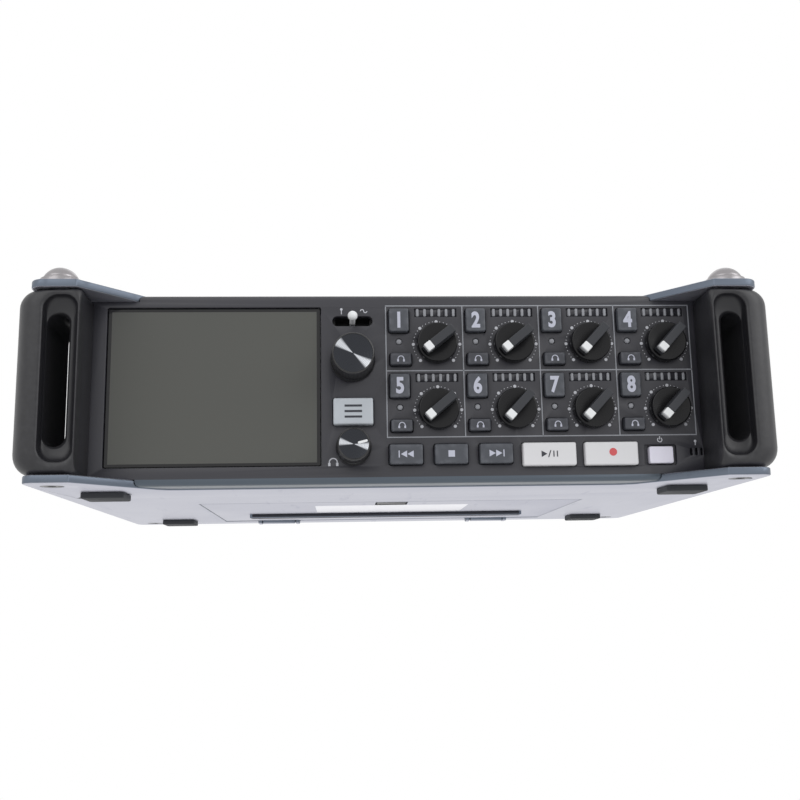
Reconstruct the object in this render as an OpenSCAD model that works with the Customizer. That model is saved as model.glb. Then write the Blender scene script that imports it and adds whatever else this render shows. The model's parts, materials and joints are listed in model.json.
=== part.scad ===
// Portable eight-track field recorder, built as a bench assembly.
// +Z up, -Y is the control side, +X is to the right of someone facing the controls.
// The origin is under the middle of the case, on the plane of the rubber feet.

/* [Plates] */
// Width of the top and bottom plates
plate_w = 172.6; // [168:0.2:210]
// Depth of the plates, from the ear fronts to the rear edge
plate_d = 139; // [135:0.5:170]
// Thickness of each plate
plate_t = 1.9; // [1.5:0.1:2.6]
// Clear height between the two plates
body_h = 43.7; // [43:0.1:56]
// Width of each ear that stands over a handle
ear_w = 11; // [10:0.5:12]
// How far the ears reach ahead of the plates' straight front edge
ear_reach = 20; // [17:0.5:23]
// Setback of the diagonal's inner end from the ear
ear_slant = 18; // [14:0.5:22]

/* [Front panel] */
// Distance from the ear fronts back to the panel face
panel_setback = 13; // [11:0.5:15]
// Thickness of the panel face
panel_t = 3; // [2.5:0.1:3.5]
// Depth of the cavity behind the face, down to the control board
cavity_d = 9; // [8.5:0.1:11]
// Width of the display window
window_w = 51.1; // [45:0.1:52]
// Height of the display window
window_h = 38.6; // [34:0.1:39]

/* [Controls] */
// Side to side pitch of the tracks
track_pitch_x = 19; // [18.5:0.1:19.2]
// Row to row pitch of the tracks
track_pitch_z = 16.44; // [16:0.02:16.6]
// Diameter of a trim knob
trim_knob_d = 10; // [9:0.1:10.6]
// Height of a trim knob's pointer above the panel
trim_knob_h = 6.4; // [5:0.1:8]
// Diameter of the select dial
select_d = 10.2; // [9:0.1:11]
// Height of the select dial above the panel
select_h = 9.2; // [7:0.1:12]
// Diameter of the headphone knob
phones_d = 7.8; // [7:0.1:9]
// Diameter of the control spindles
spindle_d = 3; // [2.4:0.1:3.6]
// Gap round each button cap
button_gap = 0.15; // [0.1:0.01:0.25]
// How far a button cap can be pressed
button_travel = 0.8; // [0.5:0.1:1]

/* [Handles] */
// How far each handle stands out past the plates
handle_out = 3.2; // [2:0.1:5]
// Depth of a handle from front to back
handle_d = 22.5; // [20:0.5:26]
// Width of the finger slot
handle_slot_w = 5.2; // [4.4:0.1:5.6]

/* [Underside] */
// Height of the rubber feet
foot_h = 1.5; // [1.5:0.1:3]
// Width of the battery door
door_w = 108; // [106.5:0.5:112]
// Depth of the battery door
door_d = 66.5; // [66:0.5:70]
// Diameter of a battery cell
cell_d = 14.2; // [13.5:0.1:14.5]
// Length of a battery cell
cell_l = 50; // [44:0.5:50.5]

/* [Sockets] */
// Pitch of the input sockets along each side
input_pitch = 24; // [23:0.1:24.5]
// Radius of the hole for a large jack plug
plug_r = 3.25; // [3.2:0.01:3.3]

/* [Hidden] */
$fn = 48;
eps = 0.05;
fit = 0.05;
gap = 0.3;
seat_air = 0.02;

half_w = plate_w / 2;
y_front = -plate_d / 2;
y_rear = plate_d / 2;
y_edge = y_front + ear_reach;
y_panel = y_front + panel_setback;
z_low = foot_h + plate_t;
z_high = z_low + body_h;
ear_inner = half_w - ear_w;
panel_half = ear_inner + 0.2;
y_board = y_panel + panel_t + cavity_d;
board_t = 1.6;
y_collar = y_board + board_t + 0.9;

// control layout: tracks hang from the right-hand top corner, the display from the left
track_cols = 4;
track_count = 8;
grid_left = panel_half - 2.7 - track_cols * track_pitch_x;
grid_top = z_high - 1.2;
column_x = grid_left - 8.2;
slate_z = z_high - 5.05;
select_z = z_high - 15.2;
menu_z = z_low + 15.9;
phones_z = z_low + 7.1;
keys_z = z_low + 5.35;
wide_keys_z = z_low + 5.05;
power_z = z_low + 4.7;
window_x = -panel_half + 4.9 + window_w / 2;
window_z = (z_low + z_high) / 2 + 0.65;
mic_x = panel_half - 2.9;
mic_z = z_low + 5.4;
mic_pitch = 1.3;
mic_slot = [0.6, 1.8];
function track_col(i) = (i - 1) % track_cols;
function track_row(i) = floor((i - 1) / track_cols);
function cell_x(i) = grid_left + track_col(i) * track_pitch_x;
function cell_z(i) = grid_top - track_row(i) * track_pitch_z;

// centre and cap size of every push button
track_cap = [4.95, 5.95];
solo_cap = [5.3, 3];
key_cap = [8.15, 4.9];
wide_cap = [13.1, 5.7];
menu_cap = [9.7, 6.6];
power_cap = [6, 4.2];
key_pitch = 10.9;
function track_button_at(i) = [cell_x(i) + 3.18, cell_z(i) - 3.9];
function solo_button_at(i) = [cell_x(i) + 3.53, cell_z(i) - 13.7];
function light_at(i) = [cell_x(i) + 3.18, cell_z(i) - 9.1];
function trim_at(i) = [cell_x(i) + 12.48, cell_z(i) - 9.8];
function meter_at(i) = [cell_x(i) + 12.35, cell_z(i) - 1.75];
rewind_at = [grid_left + 4.43, keys_z];
stop_at = [grid_left + 4.43 + key_pitch, keys_z];
forward_at = [grid_left + 4.43 + 2 * key_pitch, keys_z];
play_at = [grid_left + 39.18, wide_keys_z];
record_at = [grid_left + 54.38, wide_keys_z];
power_at = [grid_left + 66.98, power_z];
menu_at = [column_x, menu_z];
phones_at = [column_x, phones_z];
select_at = [column_x, select_z];
slate_at = [column_x, slate_z];

button_proud = 1.5;
flange_t = 0.8;
flange_w = 0.8;
stem_r = 1.1;
stem_l = 0.6;
switch_gap = button_travel + 0.25;
y_switch = panel_t + 0.1 + flange_t + stem_l + switch_gap;
light_r = 0.7;
meter_size = [10.3, 1.9];
shaft_r = spindle_d / 2;
pot_w = 8;
select_shaft_r = 3;
encoder_w = 11;
select_rise = 0.9;
slate_slot = [9.9, 2.5];
slate_pivot = 6.5;
slate_reach = 5;
slate_ball_r = 1.2;
slate_pin_r = 0.6;
slate_stem_r = 0.7;

// handles
handle_half = half_w + handle_out;
handle_in = ear_inner - 1.1;
handle_slot_x = ear_inner + 1.9;
handle_slot_h = body_h - 12.5;
handle_slot_z = (z_low + z_high) / 2 + 0.4;
y_handle = y_front + 0.4;
y_handle_end = y_handle + handle_d;

// side walls step out behind the handles
wall_t = 2;
side_x = half_w - 2;
y_bay = y_handle_end + 12.5;
y_wall_end = y_rear - 1;
y_back = y_rear - 1 - wall_t;
input_y0 = y_bay + 3.6 + input_pitch / 2;
input_z = z_high - 15.2;
input_r = 11;
low_row_z = z_low + 8.4;

// battery door and bay
door_t = 1.8;
door_y0 = y_rear - 80.2;
door_y1 = door_y0 + door_d;
hinge_y = door_y1 + 1.4;
hinge_z = foot_h + 0.1;
hinge_r = 1.2;
hinge_pin_r = 0.55;
hinge_xs = [-36, 36];
hinge_l = 11;
case_wall = 1.4;
case_w = 2 * cell_l + 2 * case_wall + 1;
case_d = 4 * (cell_d + 0.3) + 2 * case_wall + 0.3;
case_h = cell_d + case_wall + 0.6;
case_y = (door_y0 + door_y1) / 2;
latch_plate_t = 0.5;
latch_air = 0.1;
case_z = z_low + latch_plate_t + 0.4;
bay_wall = 1.5;
bay_top = case_z + case_h + 0.3;
main_board_z = bay_top + bay_wall + 1.4;

// card door, low on the right-hand side
card_y0 = 6;
card_w = 32;
card_h = 10.4;
card_hinge_z = low_row_z - card_h / 2 + 0.9;
card_hinge_x = side_x - 0.9;
card_pin_r = 0.4;

// ---------- helpers ----------

// block between two corners
module block(low, high) {
  translate(low) cube(high - low);
}

// flat rectangle with round corners, centred
module round_rect(w, h, r) {
  square([w - 2 * r, h], center = true);
  square([w, h - 2 * r], center = true);
  for (sx = [-1, 1]) for (sy = [-1, 1]) {
    translate([sx * (w / 2 - r), sy * (h / 2 - r)]) circle(r);
  }
}

// children drawn in (x, z) become a solid from y0 to y1
module along_y(y0, y1) {
  translate([0, y1, 0]) rotate([90, 0, 0]) linear_extrude(y1 - y0) children();
}

// children drawn in (y, z) become a solid from x0 to x1
module along_x(x0, x1) {
  translate([x0, 0, 0]) rotate([90, 0, 90]) linear_extrude(x1 - x0) children();
}

// children drawn in (x, z) round a point of the panel, from depth d0 to d1 behind its face
module in_panel(at, d0, d1) {
  along_y(y_panel + d0, y_panel + d1) translate(at) children();
}

// round bar along y, by depth behind the panel face
module panel_rod(at, d0, d1, r) {
  translate([at[0], y_panel + d1, at[1]]) rotate([90, 0, 0]) cylinder(h = d1 - d0, r = r);
}

// round bar along x
module rod_x(x0, x1, y, z, r) {
  translate([x0, y, z]) rotate([0, 90, 0]) cylinder(h = x1 - x0, r = r);
}

module both_sides() {
  children();
  mirror([1, 0, 0]) children();
}

// ---------- plates ----------

// space between the ears, ahead of the straight front edge, with its inner corners rounded
notch_r = 7;
slant_angle = atan2(ear_reach, ear_slant);
notch_cut = notch_r * tan(slant_angle / 2);
module ear_notch() {
  corner_x = ear_inner - ear_slant;
  polygon([
    [-ear_inner, y_front], [-ear_inner, y_front - 1], [ear_inner, y_front - 1], [ear_inner, y_front],
    [corner_x + notch_cut * cos(slant_angle), y_edge - notch_cut * sin(slant_angle)],
    [corner_x - notch_cut, y_edge], [-corner_x + notch_cut, y_edge],
    [-corner_x - notch_cut * cos(slant_angle), y_edge - notch_cut * sin(slant_angle)]]);
  for (s = [-1, 1]) translate([s * (corner_x - notch_cut), y_edge - notch_r]) circle(notch_r);
}

plate_corner = 3.5;
module plate_outline() {
  difference() {
    round_rect(plate_w, plate_d, plate_corner);
    ear_notch();
  }
}

bolt_at = [half_w - 5.3, y_front + 8.2];
rear_screw_at = [half_w - 7, y_rear - 6.5];
mid_screw_at = [half_w - 7, y_bay + 1.4];
bolt_hole_r = 2.05;
bolt_grip = 4.6;
screw_head_r = 2.7;
screw_r = 1.5;
screw_air = 0.1;
screw_grip = 4.4;

csk_depth = 1.25;
module screw_cut(at, z_face, up) {
  translate([at[0], at[1], z_face]) mirror([0, 0, up ? 0 : 1]) {
    translate([0, 0, -csk_depth])
      cylinder(h = csk_depth + eps, r1 = screw_r + screw_air, r2 = screw_head_r + 0.15);
    translate([0, 0, -plate_t - 1]) cylinder(h = plate_t + 1, r = screw_r + screw_air);
  }
}

module top_plate() {
  color([0.42, 0.47, 0.52]) difference() {
    translate([0, 0, z_high]) linear_extrude(plate_t) plate_outline();
    both_sides() {
      translate([bolt_at[0], bolt_at[1], z_high - 1]) cylinder(h = plate_t + 2, r = bolt_hole_r);
      screw_cut(rear_screw_at, z_high + plate_t, true);
      screw_cut(mid_screw_at, z_high + plate_t, true);
    }
  }
}

door_gap = 0.35;
lug_w = 1.4;
lug_air = 0.2;
lug_reach = 3.2;
module bottom_plate() {
  color([0.42, 0.47, 0.52]) {
    difference() {
      translate([0, 0, foot_h]) linear_extrude(plate_t) plate_outline();
      block([-door_w / 2 - door_gap, door_y0 - door_gap, 0],
          [door_w / 2 + door_gap, hinge_y + lug_reach / 2, z_low + 1]);
      both_sides() {
        screw_cut(bolt_at, foot_h, false);
        screw_cut(rear_screw_at, foot_h, false);
        screw_cut(mid_screw_at, foot_h, false);
      }
    }
    for (x = hinge_xs) {
      for (s = [-1, 1]) translate([x + s * (hinge_l / 2 + lug_air + lug_w / 2), 0, 0]) {
        rod_x(-lug_w / 2, lug_w / 2, hinge_y, hinge_z, hinge_r);
        block([-lug_w / 2, hinge_y, hinge_z - hinge_r], [lug_w / 2, hinge_y + lug_reach, foot_h + plate_t]);
      }
      rod_x(x - hinge_l / 2 - lug_air - lug_w, x + hinge_l / 2 + lug_air + lug_w, hinge_y, hinge_z,
          hinge_pin_r);
    }
  }
}

// ---------- housing ----------

edge_r = 1.2;
lip_inset = 0.3;
rim_t = 1.2;
lip_low = foot_h + lip_inset;
lip_high = z_high + plate_t - lip_inset;

// side section of the panel frame, with its two front corners rounded
module panel_section() {
  mid = (lip_low + lip_high) / 2;
  tall = lip_high - lip_low;
  translate([y_panel + edge_r, lip_low]) square([y_collar - y_panel - edge_r, tall]);
  translate([y_panel, lip_low + edge_r]) square([edge_r * 2, tall - 2 * edge_r]);
  for (s = [-1, 1]) translate([y_panel + edge_r, mid + s * (tall / 2 - edge_r)]) circle(edge_r);
}

module front_panel() {
  color([0.27, 0.27, 0.3]) difference() {
    intersection() {
      along_x(-panel_half, panel_half) panel_section();
      union() {
        translate([0, 0, lip_low]) linear_extrude(lip_high - lip_low) intersection() {
          translate([-panel_half, y_panel]) square([2 * panel_half, y_edge - gap - y_panel]);
          translate([0, -gap]) ear_notch();
        }
        block([-panel_half, y_panel, z_low + eps], [panel_half, y_collar, z_high - eps]);
      }
    }
    block([-panel_half + rim_t, y_panel + panel_t, z_low + rim_t],
        [panel_half - rim_t, y_collar + 1, z_high - rim_t]);
    in_panel([window_x, window_z], -1, panel_t + 1) round_rect(window_w + 0.8, window_h + 0.8, 0.5);
    for (i = [1 : track_count]) {
      in_panel(track_button_at(i), -1, panel_t + 1) cap_hole(track_cap);
      in_panel(solo_button_at(i), -1, panel_t + 1) cap_hole(solo_cap);
      panel_rod(light_at(i), -1, panel_t + 1, light_r + 0.1);
      panel_rod(trim_at(i), -1, panel_t + 1, shaft_r + 0.3);
      in_panel(meter_at(i), -1, panel_t + 1)
        square([meter_size[0] + 0.2, meter_size[1] + 0.2], center = true);
    }
    for (at = [rewind_at, stop_at, forward_at]) in_panel(at, -1, panel_t + 1) cap_hole(key_cap);
    for (at = [play_at, record_at]) in_panel(at, -1, panel_t + 1) cap_hole(wide_cap);
    in_panel(menu_at, -1, panel_t + 1) cap_hole(menu_cap);
    in_panel(power_at, -1, panel_t + 1) cap_hole(power_cap);
    in_panel([power_at[0] - 0.2, power_at[1]], -1, 1) round_rect(power_cap[0] + 2, power_cap[1] + 0.9, 0.6);
    panel_rod(phones_at, -1, panel_t + 1, shaft_r + 0.3);
    panel_rod(select_at, -1, panel_t + 1, select_shaft_r + 0.4);
    in_panel(slate_at, -1, panel_t + 1) round_rect(slate_slot[0], slate_slot[1], slate_slot[1] / 2 - 0.01);
    for (k = [-1 : 1]) in_panel([mic_x + mic_pitch * k, mic_z], -1, panel_t + 1)
      round_rect(mic_slot[0], mic_slot[1], 0.25);
  }
}

cap_corner = 0.45;
module cap_hole(cap) {
  round_rect(cap[0] + 2 * button_gap, cap[1] + 2 * button_gap, cap_corner + button_gap);
}

// a side wall starts behind the front panel, steps out behind the handle and runs to the rear;
// bosses in its corners take the plate screws
boss_r = 3.2;
boss_h = 5.5;
module side_wall() {
  difference() {
    union() {
      translate([0, 0, z_low]) linear_extrude(body_h) polygon([
        [panel_half - wall_t, y_collar + 0.05], [panel_half, y_collar + 0.05], [panel_half, y_bay - wall_t],
        [side_x, y_bay - wall_t], [side_x, y_wall_end], [side_x - wall_t, y_wall_end],
        [side_x - wall_t, y_bay], [panel_half - wall_t, y_bay]]);
      for (at = [rear_screw_at, mid_screw_at]) for (z = [z_low, z_high - boss_h]) {
        translate([at[0], at[1], z]) cylinder(h = boss_h, r = boss_r);
      }
    }
    for (at = [rear_screw_at, mid_screw_at]) {
      translate([at[0], at[1], z_low - 1]) cylinder(h = body_h + 2, r = screw_r + screw_air);
    }
    for (k = [0 : 3]) rod_x(side_x - wall_t - 1, side_x + 1, input_y0 + k * input_pitch, input_z,
        input_r - 0.6);
  }
}

out_ys = [input_y0 - 6, input_y0 + 12, input_y0 + 31, input_y0 + 53];
out_rs = [5.2, 5.2, 1.8, plug_r];
out_hole_rs = [6.1, 6.1, 3.9, plug_r + 2.1];
module left_side_panel() {
  color([0.2, 0.2, 0.22]) mirror([1, 0, 0]) difference() {
    side_wall();
    for (k = [0 : 3]) rod_x(side_x - wall_t - 1, side_x + 1, out_ys[k], low_row_z, out_hole_rs[k]);
  }
}

module right_side_panel() {
  color([0.2, 0.2, 0.22]) difference() {
    side_wall();
    block([side_x - wall_t - 1, card_y0 - gap, low_row_z - card_h / 2 - gap],
          [side_x + 1, card_y0 + card_w + gap, low_row_z + card_h / 2 + gap]);
    translate([card_hinge_x, card_y0 - 1.5, card_hinge_z]) rotate([-90, 0, 0])
      cylinder(h = card_w + 3, r = card_pin_r + fit);
  }
}

timecode_xs = [50, 35];
timecode_r = 4.8;
dc_x = 19;
dc_r = 5;
usb_x = 2;
usb_size = [9.2, 3.4];
pod_x = -33;
pod_size = [34, 12];
rear_z = input_z;
module rear_panel() {
  color([0.2, 0.2, 0.22]) difference() {
    block([-side_x + wall_t, y_back, z_low], [side_x - wall_t, y_back + wall_t, z_high]);
    for (x = timecode_xs) rear_bore(x, rear_z, timecode_r + 0.3);
    rear_bore(dc_x, rear_z, dc_r + 0.9);
    along_y(y_back - 1, y_rear) translate([usb_x, rear_z])
      square([usb_size[0] + 1.4, usb_size[1] + 1.4], center = true);
    along_y(y_back - 1, y_rear) translate([pod_x, rear_z])
      round_rect(pod_size[0] + 0.4, pod_size[1] + 0.4, 1.4);
  }
}
module rear_bore(x, z, r) {
  translate([x, y_rear, z]) rotate([90, 0, 0]) cylinder(h = wall_t + 3, r = r);
}

// handle seen from above, round at its outer front corner
handle_r = 6;
module handle_plan() {
  difference() {
    union() {
      translate([handle_in, y_handle]) square([handle_half - handle_r - handle_in, handle_d]);
      translate([handle_in, y_handle + handle_r]) square([handle_half - handle_in, handle_d - handle_r]);
      translate([handle_half - handle_r, y_handle + handle_r]) circle(handle_r);
    }
    translate([handle_in - 1, y_panel - gap]) square([panel_half + gap - handle_in + 1, handle_d]);
  }
}

// handle seen from the front, round at its outer corners
module handle_front() {
  low_r = 4;
  high_r = 2.5;
  mid = (z_low + z_high) / 2;
  translate([handle_in, z_low + eps]) square([handle_half - low_r - handle_in, body_h - 2 * eps]);
  translate([handle_in, z_low + low_r]) square([handle_half - handle_in, body_h - low_r - high_r]);
  translate([handle_in, mid]) square([handle_half - high_r - handle_in, z_high - eps - mid]);
  translate([handle_half - low_r, z_low + eps + low_r]) circle(low_r);
  translate([handle_half - high_r, z_high - eps - high_r]) circle(high_r);
}

module handle() {
  color([0.13, 0.13, 0.14]) difference() {
    intersection() {
      translate([0, 0, z_low]) linear_extrude(body_h) handle_plan();
      along_y(y_front, y_handle_end + 1) handle_front();
    }
    along_y(y_front - 1, y_handle_end + 1) translate([handle_slot_x + handle_slot_w / 2, handle_slot_z])
      round_rect(handle_slot_w, handle_slot_h, handle_slot_w / 2 - 0.01);
    translate([bolt_at[0], bolt_at[1], z_high - bolt_grip - 0.2])
      cylinder(h = bolt_grip + 1, r = bolt_hole_r);
    translate([bolt_at[0], bolt_at[1], z_low - 1]) cylinder(h = screw_grip + 1.2, r = screw_r + screw_air);
  }
}
module right_handle() handle();
module left_handle() mirror([1, 0, 0]) handle();

// domed bolts hold the top ears on raised bushes
bush_t = 1.9;
bush_r = 5.3;
dome_r = 4.1;
dome_h = 3.1;
dome_curve_r = 4.6;
bolt_socket = [1.45, 1.6];
module ear_bolts() {
  color([0.75, 0.75, 0.76]) both_sides() translate([bolt_at[0], bolt_at[1], z_high + plate_t]) {
    difference() {
      cylinder(h = bush_t, r1 = bush_r, r2 = bush_r - 0.4);
      translate([0, 0, -1]) cylinder(h = bush_t + 2, r = bolt_hole_r + 0.05);
    }
    difference() {
      union() {
        translate([0, 0, bush_t + seat_air]) rotate_extrude() intersection() {
          translate([0, dome_h - dome_curve_r]) circle(dome_curve_r);
          square([dome_r, dome_h]);
        }
        translate([0, 0, -plate_t - bolt_grip])
          cylinder(h = bush_t + plate_t + bolt_grip + 0.1, r = bolt_hole_r - 0.05);
      }
      translate([0, 0, bush_t + dome_h - bolt_socket[1]]) cylinder(h = 3, r = bolt_socket[0], $fn = 6);
    }
  }
}

// radius and depth of a screw's hexagon socket
screw_socket = [1.1, 0.85];
module plate_screw(at, z_face, up) {
  translate([at[0], at[1], z_face]) mirror([0, 0, up ? 0 : 1]) difference() {
    union() {
      translate([0, 0, -csk_depth]) cylinder(h = csk_depth - eps, r1 = screw_r, r2 = screw_head_r);
      translate([0, 0, -plate_t - screw_grip]) cylinder(h = plate_t + screw_grip - 0.6, r = screw_r);
    }
    translate([0, 0, -screw_socket[1]]) cylinder(h = 2, r = screw_socket[0], $fn = 6);
  }
}
module plate_screws() {
  color([0.3, 0.3, 0.32]) both_sides() {
    plate_screw(bolt_at, foot_h, false);
    for (at = [rear_screw_at, mid_screw_at]) {
      plate_screw(at, foot_h, false);
      plate_screw(at, z_high + plate_t, true);
    }
  }
}

foot_w = 10.5;
front_foot_at = [half_w - 13.6, y_edge + 6.2];
rear_foot_at = [half_w - 17.4, y_rear - 18];
module rubber_feet() {
  color([0.2, 0.2, 0.2]) both_sides() for (at = [front_foot_at, rear_foot_at]) {
    translate([at[0], at[1], 0]) linear_extrude(foot_h) round_rect(foot_w, foot_w, 1.2);
  }
}

// ---------- display and inside ----------

window_recess = 0.6;
window_t = 1.3;
module display_window() {
  color([0.38, 0.38, 0.35]) in_panel([window_x, window_z], window_recess, window_recess + window_t)
    round_rect(window_w + 0.5, window_h + 0.5, 0.35);
}

// how far the module stands out past the window, its thickness, and its posts
module_rim = [4.6, 1.2];
module_t = 3;
module_post_r = 2;
module display_module() {
  w = window_w + module_rim[0];
  h = window_h + module_rim[1];
  color([0.5, 0.5, 0.52]) {
    in_panel([window_x, window_z], window_recess + window_t, panel_t)
      square([window_w, window_h], center = true);
    in_panel([window_x, window_z], panel_t, panel_t + module_t) square([w, h], center = true);
    for (sx = [-1, 1]) for (sz = [-1, 1]) {
      panel_rod([window_x + sx * (w / 2 - 2 * module_post_r), window_z + sz * (h / 2 - 2 * module_post_r)],
                panel_t + module_t - eps, panel_t + cavity_d, module_post_r);
    }
  }
}

module light_lenses() {
  color([0.8, 0.8, 0.78]) for (i = [1 : track_count]) {
    panel_rod(light_at(i), 0, panel_t + cavity_d, light_r);
    in_panel(meter_at(i), 0, panel_t + cavity_d) square(meter_size, center = true);
  }
}

main_board_w = 112;
board_plug = [40, 4];
module circuit_boards() {
  color([0.1, 0.35, 0.2]) {
    block([-panel_half + rim_t + 0.1, y_board, z_low + rim_t + 0.1],
          [panel_half - rim_t - 0.1, y_board + board_t, z_high - rim_t - 0.1]);
    block([-main_board_w / 2, y_collar + 1.5, main_board_z],
        [main_board_w / 2, y_back - 3, main_board_z + board_t]);
    // board to board plug that joins the two
    block([-board_plug[0] / 2, y_board + board_t, main_board_z],
          [board_plug[0] / 2, y_collar + 1.5, main_board_z + board_plug[1]]);
  }
}

// ---------- potentiometers, switches and what is pressed or turned ----------

spindle_end = panel_t + cavity_d - 0.6;
module pot(at) {
  difference() {
    in_panel(at, panel_t, panel_t + cavity_d) square(pot_w, center = true);
    panel_rod(at, panel_t - 1, spindle_end + 0.2, shaft_r + fit);
  }
}
module potentiometers() {
  color([0.35, 0.37, 0.4]) {
    for (i = [1 : track_count]) pot(trim_at(i));
    pot(phones_at);
    difference() {
      in_panel(select_at, panel_t, panel_t + cavity_d) square(encoder_w, center = true);
      panel_rod(select_at, panel_t - 1, spindle_end + 0.2, select_shaft_r + fit);
    }
  }
}

knob_rise = 0.4;
module spindle(at, top) {
  panel_rod(at, -top, spindle_end, shaft_r);
}

// knob shell: skirt and body turned about the spindle, with a blind socket for it
module knob_socket(at, top) {
  panel_rod(at, -top - 0.1, 1, shaft_r + 0.03);
}

pointer_w = 2.1;
trim_skirt_h = 2.6;
// the pointers rest near the lower stop; three of them are turned up a little
trim_stop_angle = 47;
trim_turned_up = [9, 8, 0, 0, 7, 0, 0, 0];
module trim_knob(i) {
  at = trim_at(i);
  pointer_angle = trim_stop_angle - trim_turned_up[i - 1];
  color([0.12, 0.12, 0.13]) {
    difference() {
      translate([at[0], y_panel - knob_rise, at[1]]) rotate([90, 0, 0]) {
        rotate_extrude() polygon([
          [0, 0], [trim_knob_d / 2, 0], [trim_knob_d / 2, 1.2], [trim_knob_d / 2 - 0.5, trim_skirt_h],
          [0, trim_skirt_h]]);
        intersection() {
          cylinder(h = trim_knob_h - knob_rise, r = trim_knob_d / 2 - 0.5);
          rotate([0, 0, pointer_angle]) translate([-trim_knob_d / 2, -pointer_w / 2, 0])
            cube([trim_knob_d, pointer_w, trim_knob_h]);
        }
      }
      knob_socket(at, trim_skirt_h - 0.4);
    }
    spindle(at, trim_skirt_h - 0.5);
  }
}

phones_h = 7.2;
module headphone_knob() {
  color([0.15, 0.15, 0.16]) {
    difference() {
      translate([phones_at[0], y_panel - knob_rise, phones_at[1]]) rotate([90, 0, 0]) rotate_extrude()
        polygon([
        [0, 0], [phones_d / 2 + 0.4, 0], [phones_d / 2 + 0.4, 1.2], [phones_d / 2, 1.6],
        [phones_d / 2, phones_h - knob_rise - 0.4], [phones_d / 2 - 0.4, phones_h - knob_rise],
        [phones_d / 2 - 0.8, phones_h - knob_rise], [0, phones_h - knob_rise - 0.35]]);
      knob_socket(phones_at, 4.6);
    }
    spindle(phones_at, 4.5);
  }
}

module select_shaft() {
  color([0.6, 0.6, 0.62])
    panel_rod(select_at, -select_h + 1.8, spindle_end - button_travel, select_shaft_r);
}
module select_knob() {
  r = select_d / 2;
  color([0.15, 0.15, 0.16]) difference() {
    translate([select_at[0], y_panel - select_rise, select_at[1]]) rotate([90, 0, 0]) rotate_extrude()
      polygon([
      [0, 0], [r + 0.35, 0], [r + 0.35, 1], [r, 1.4], [r, select_h - select_rise - 0.5],
      [r - 0.5, select_h - select_rise], [r - 1, select_h - select_rise],
        [0, select_h - select_rise - 0.45]]);
    panel_rod(select_at, -select_h + 1.6, 1, select_shaft_r + fit);
  }
}

// push button: cap through the panel, a flange that keeps it in, and a stem to its switch
module button(at, cap, proud) {
  in_panel(at, -proud, panel_t + 0.1 + eps) round_rect(cap[0], cap[1], cap_corner);
  in_panel(at, panel_t + 0.1, panel_t + 0.1 + flange_t)
    square([cap[0] + 2 * flange_w, cap[1] + 2 * flange_w], center = true);
  panel_rod(at, panel_t + 0.1, panel_t + 0.1 + flange_t + stem_l, stem_r);
}
module track_button(i) color([0.27, 0.28, 0.3]) button(track_button_at(i), track_cap, button_proud);
module solo_button(i) color([0.22, 0.22, 0.24]) button(solo_button_at(i), solo_cap, button_proud);
module rewind_button() color([0.25, 0.25, 0.28]) button(rewind_at, key_cap, button_proud);
module stop_button() color([0.25, 0.25, 0.28]) button(stop_at, key_cap, button_proud);
module forward_button() color([0.25, 0.25, 0.28]) button(forward_at, key_cap, button_proud);
module play_button() color([0.8, 0.8, 0.82]) button(play_at, wide_cap, button_proud);
module record_button() color([0.8, 0.8, 0.82]) button(record_at, wide_cap, button_proud);
module menu_button() color([0.8, 0.82, 0.85]) button(menu_at, menu_cap, button_proud);
module power_button() color([0.7, 0.7, 0.78]) button(power_at, power_cap, 0.3);

// tactile switch on the control board, with its own small plunger
switch_w = 4.2;
small_switch_w = 3.6;
plunger_r = 0.9;
plunger_l = 0.5;
module key_switch(at, w) {
  in_panel(at, y_switch + plunger_l, panel_t + cavity_d) square(w, center = true);
  panel_rod(at, y_switch, y_switch + plunger_l + eps, plunger_r);
}
slate_body = [11.6, 5.6];
slate_bay = [8.6, 3.4];
slate_hub_r = 1.6;
slate_hub_l = 3;
module key_switches() {
  color([0.1, 0.1, 0.1]) {
    for (i = [1 : track_count]) {
      key_switch(track_button_at(i), switch_w);
      key_switch(solo_button_at(i), small_switch_w);
    }
    for (at = [rewind_at, stop_at, forward_at, play_at, record_at, menu_at]) key_switch(at, switch_w);
    key_switch(power_at, small_switch_w);
    difference() {
      in_panel(slate_at, panel_t + 0.2, panel_t + cavity_d) square(slate_body, center = true);
      in_panel(slate_at, panel_t - 1, slate_pivot + 2.2) square(slate_bay, center = true);
    }
    translate([slate_at[0], y_panel + slate_pivot, slate_at[1] - slate_hub_l / 2 - 0.5])
      cylinder(h = slate_hub_l + 1, r = slate_pin_r);
  }
}

// lever on a pin: hub, stem and ball
module slate_switch() {
  color([0.85, 0.85, 0.84]) difference() {
    union() {
      translate([slate_at[0], y_panel + slate_pivot, slate_at[1] - slate_hub_l / 2])
        cylinder(h = slate_hub_l, r = slate_hub_r);
      panel_rod(slate_at, -slate_reach, slate_pivot - 0.8, slate_stem_r);
      translate([slate_at[0], y_panel - slate_reach, slate_at[1]]) sphere(slate_ball_r);
    }
    translate([slate_at[0], y_panel + slate_pivot, slate_at[1] - slate_hub_l])
      cylinder(h = 2 * slate_hub_l, r = slate_pin_r + fit);
  }
}

// ---------- sockets ----------

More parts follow.
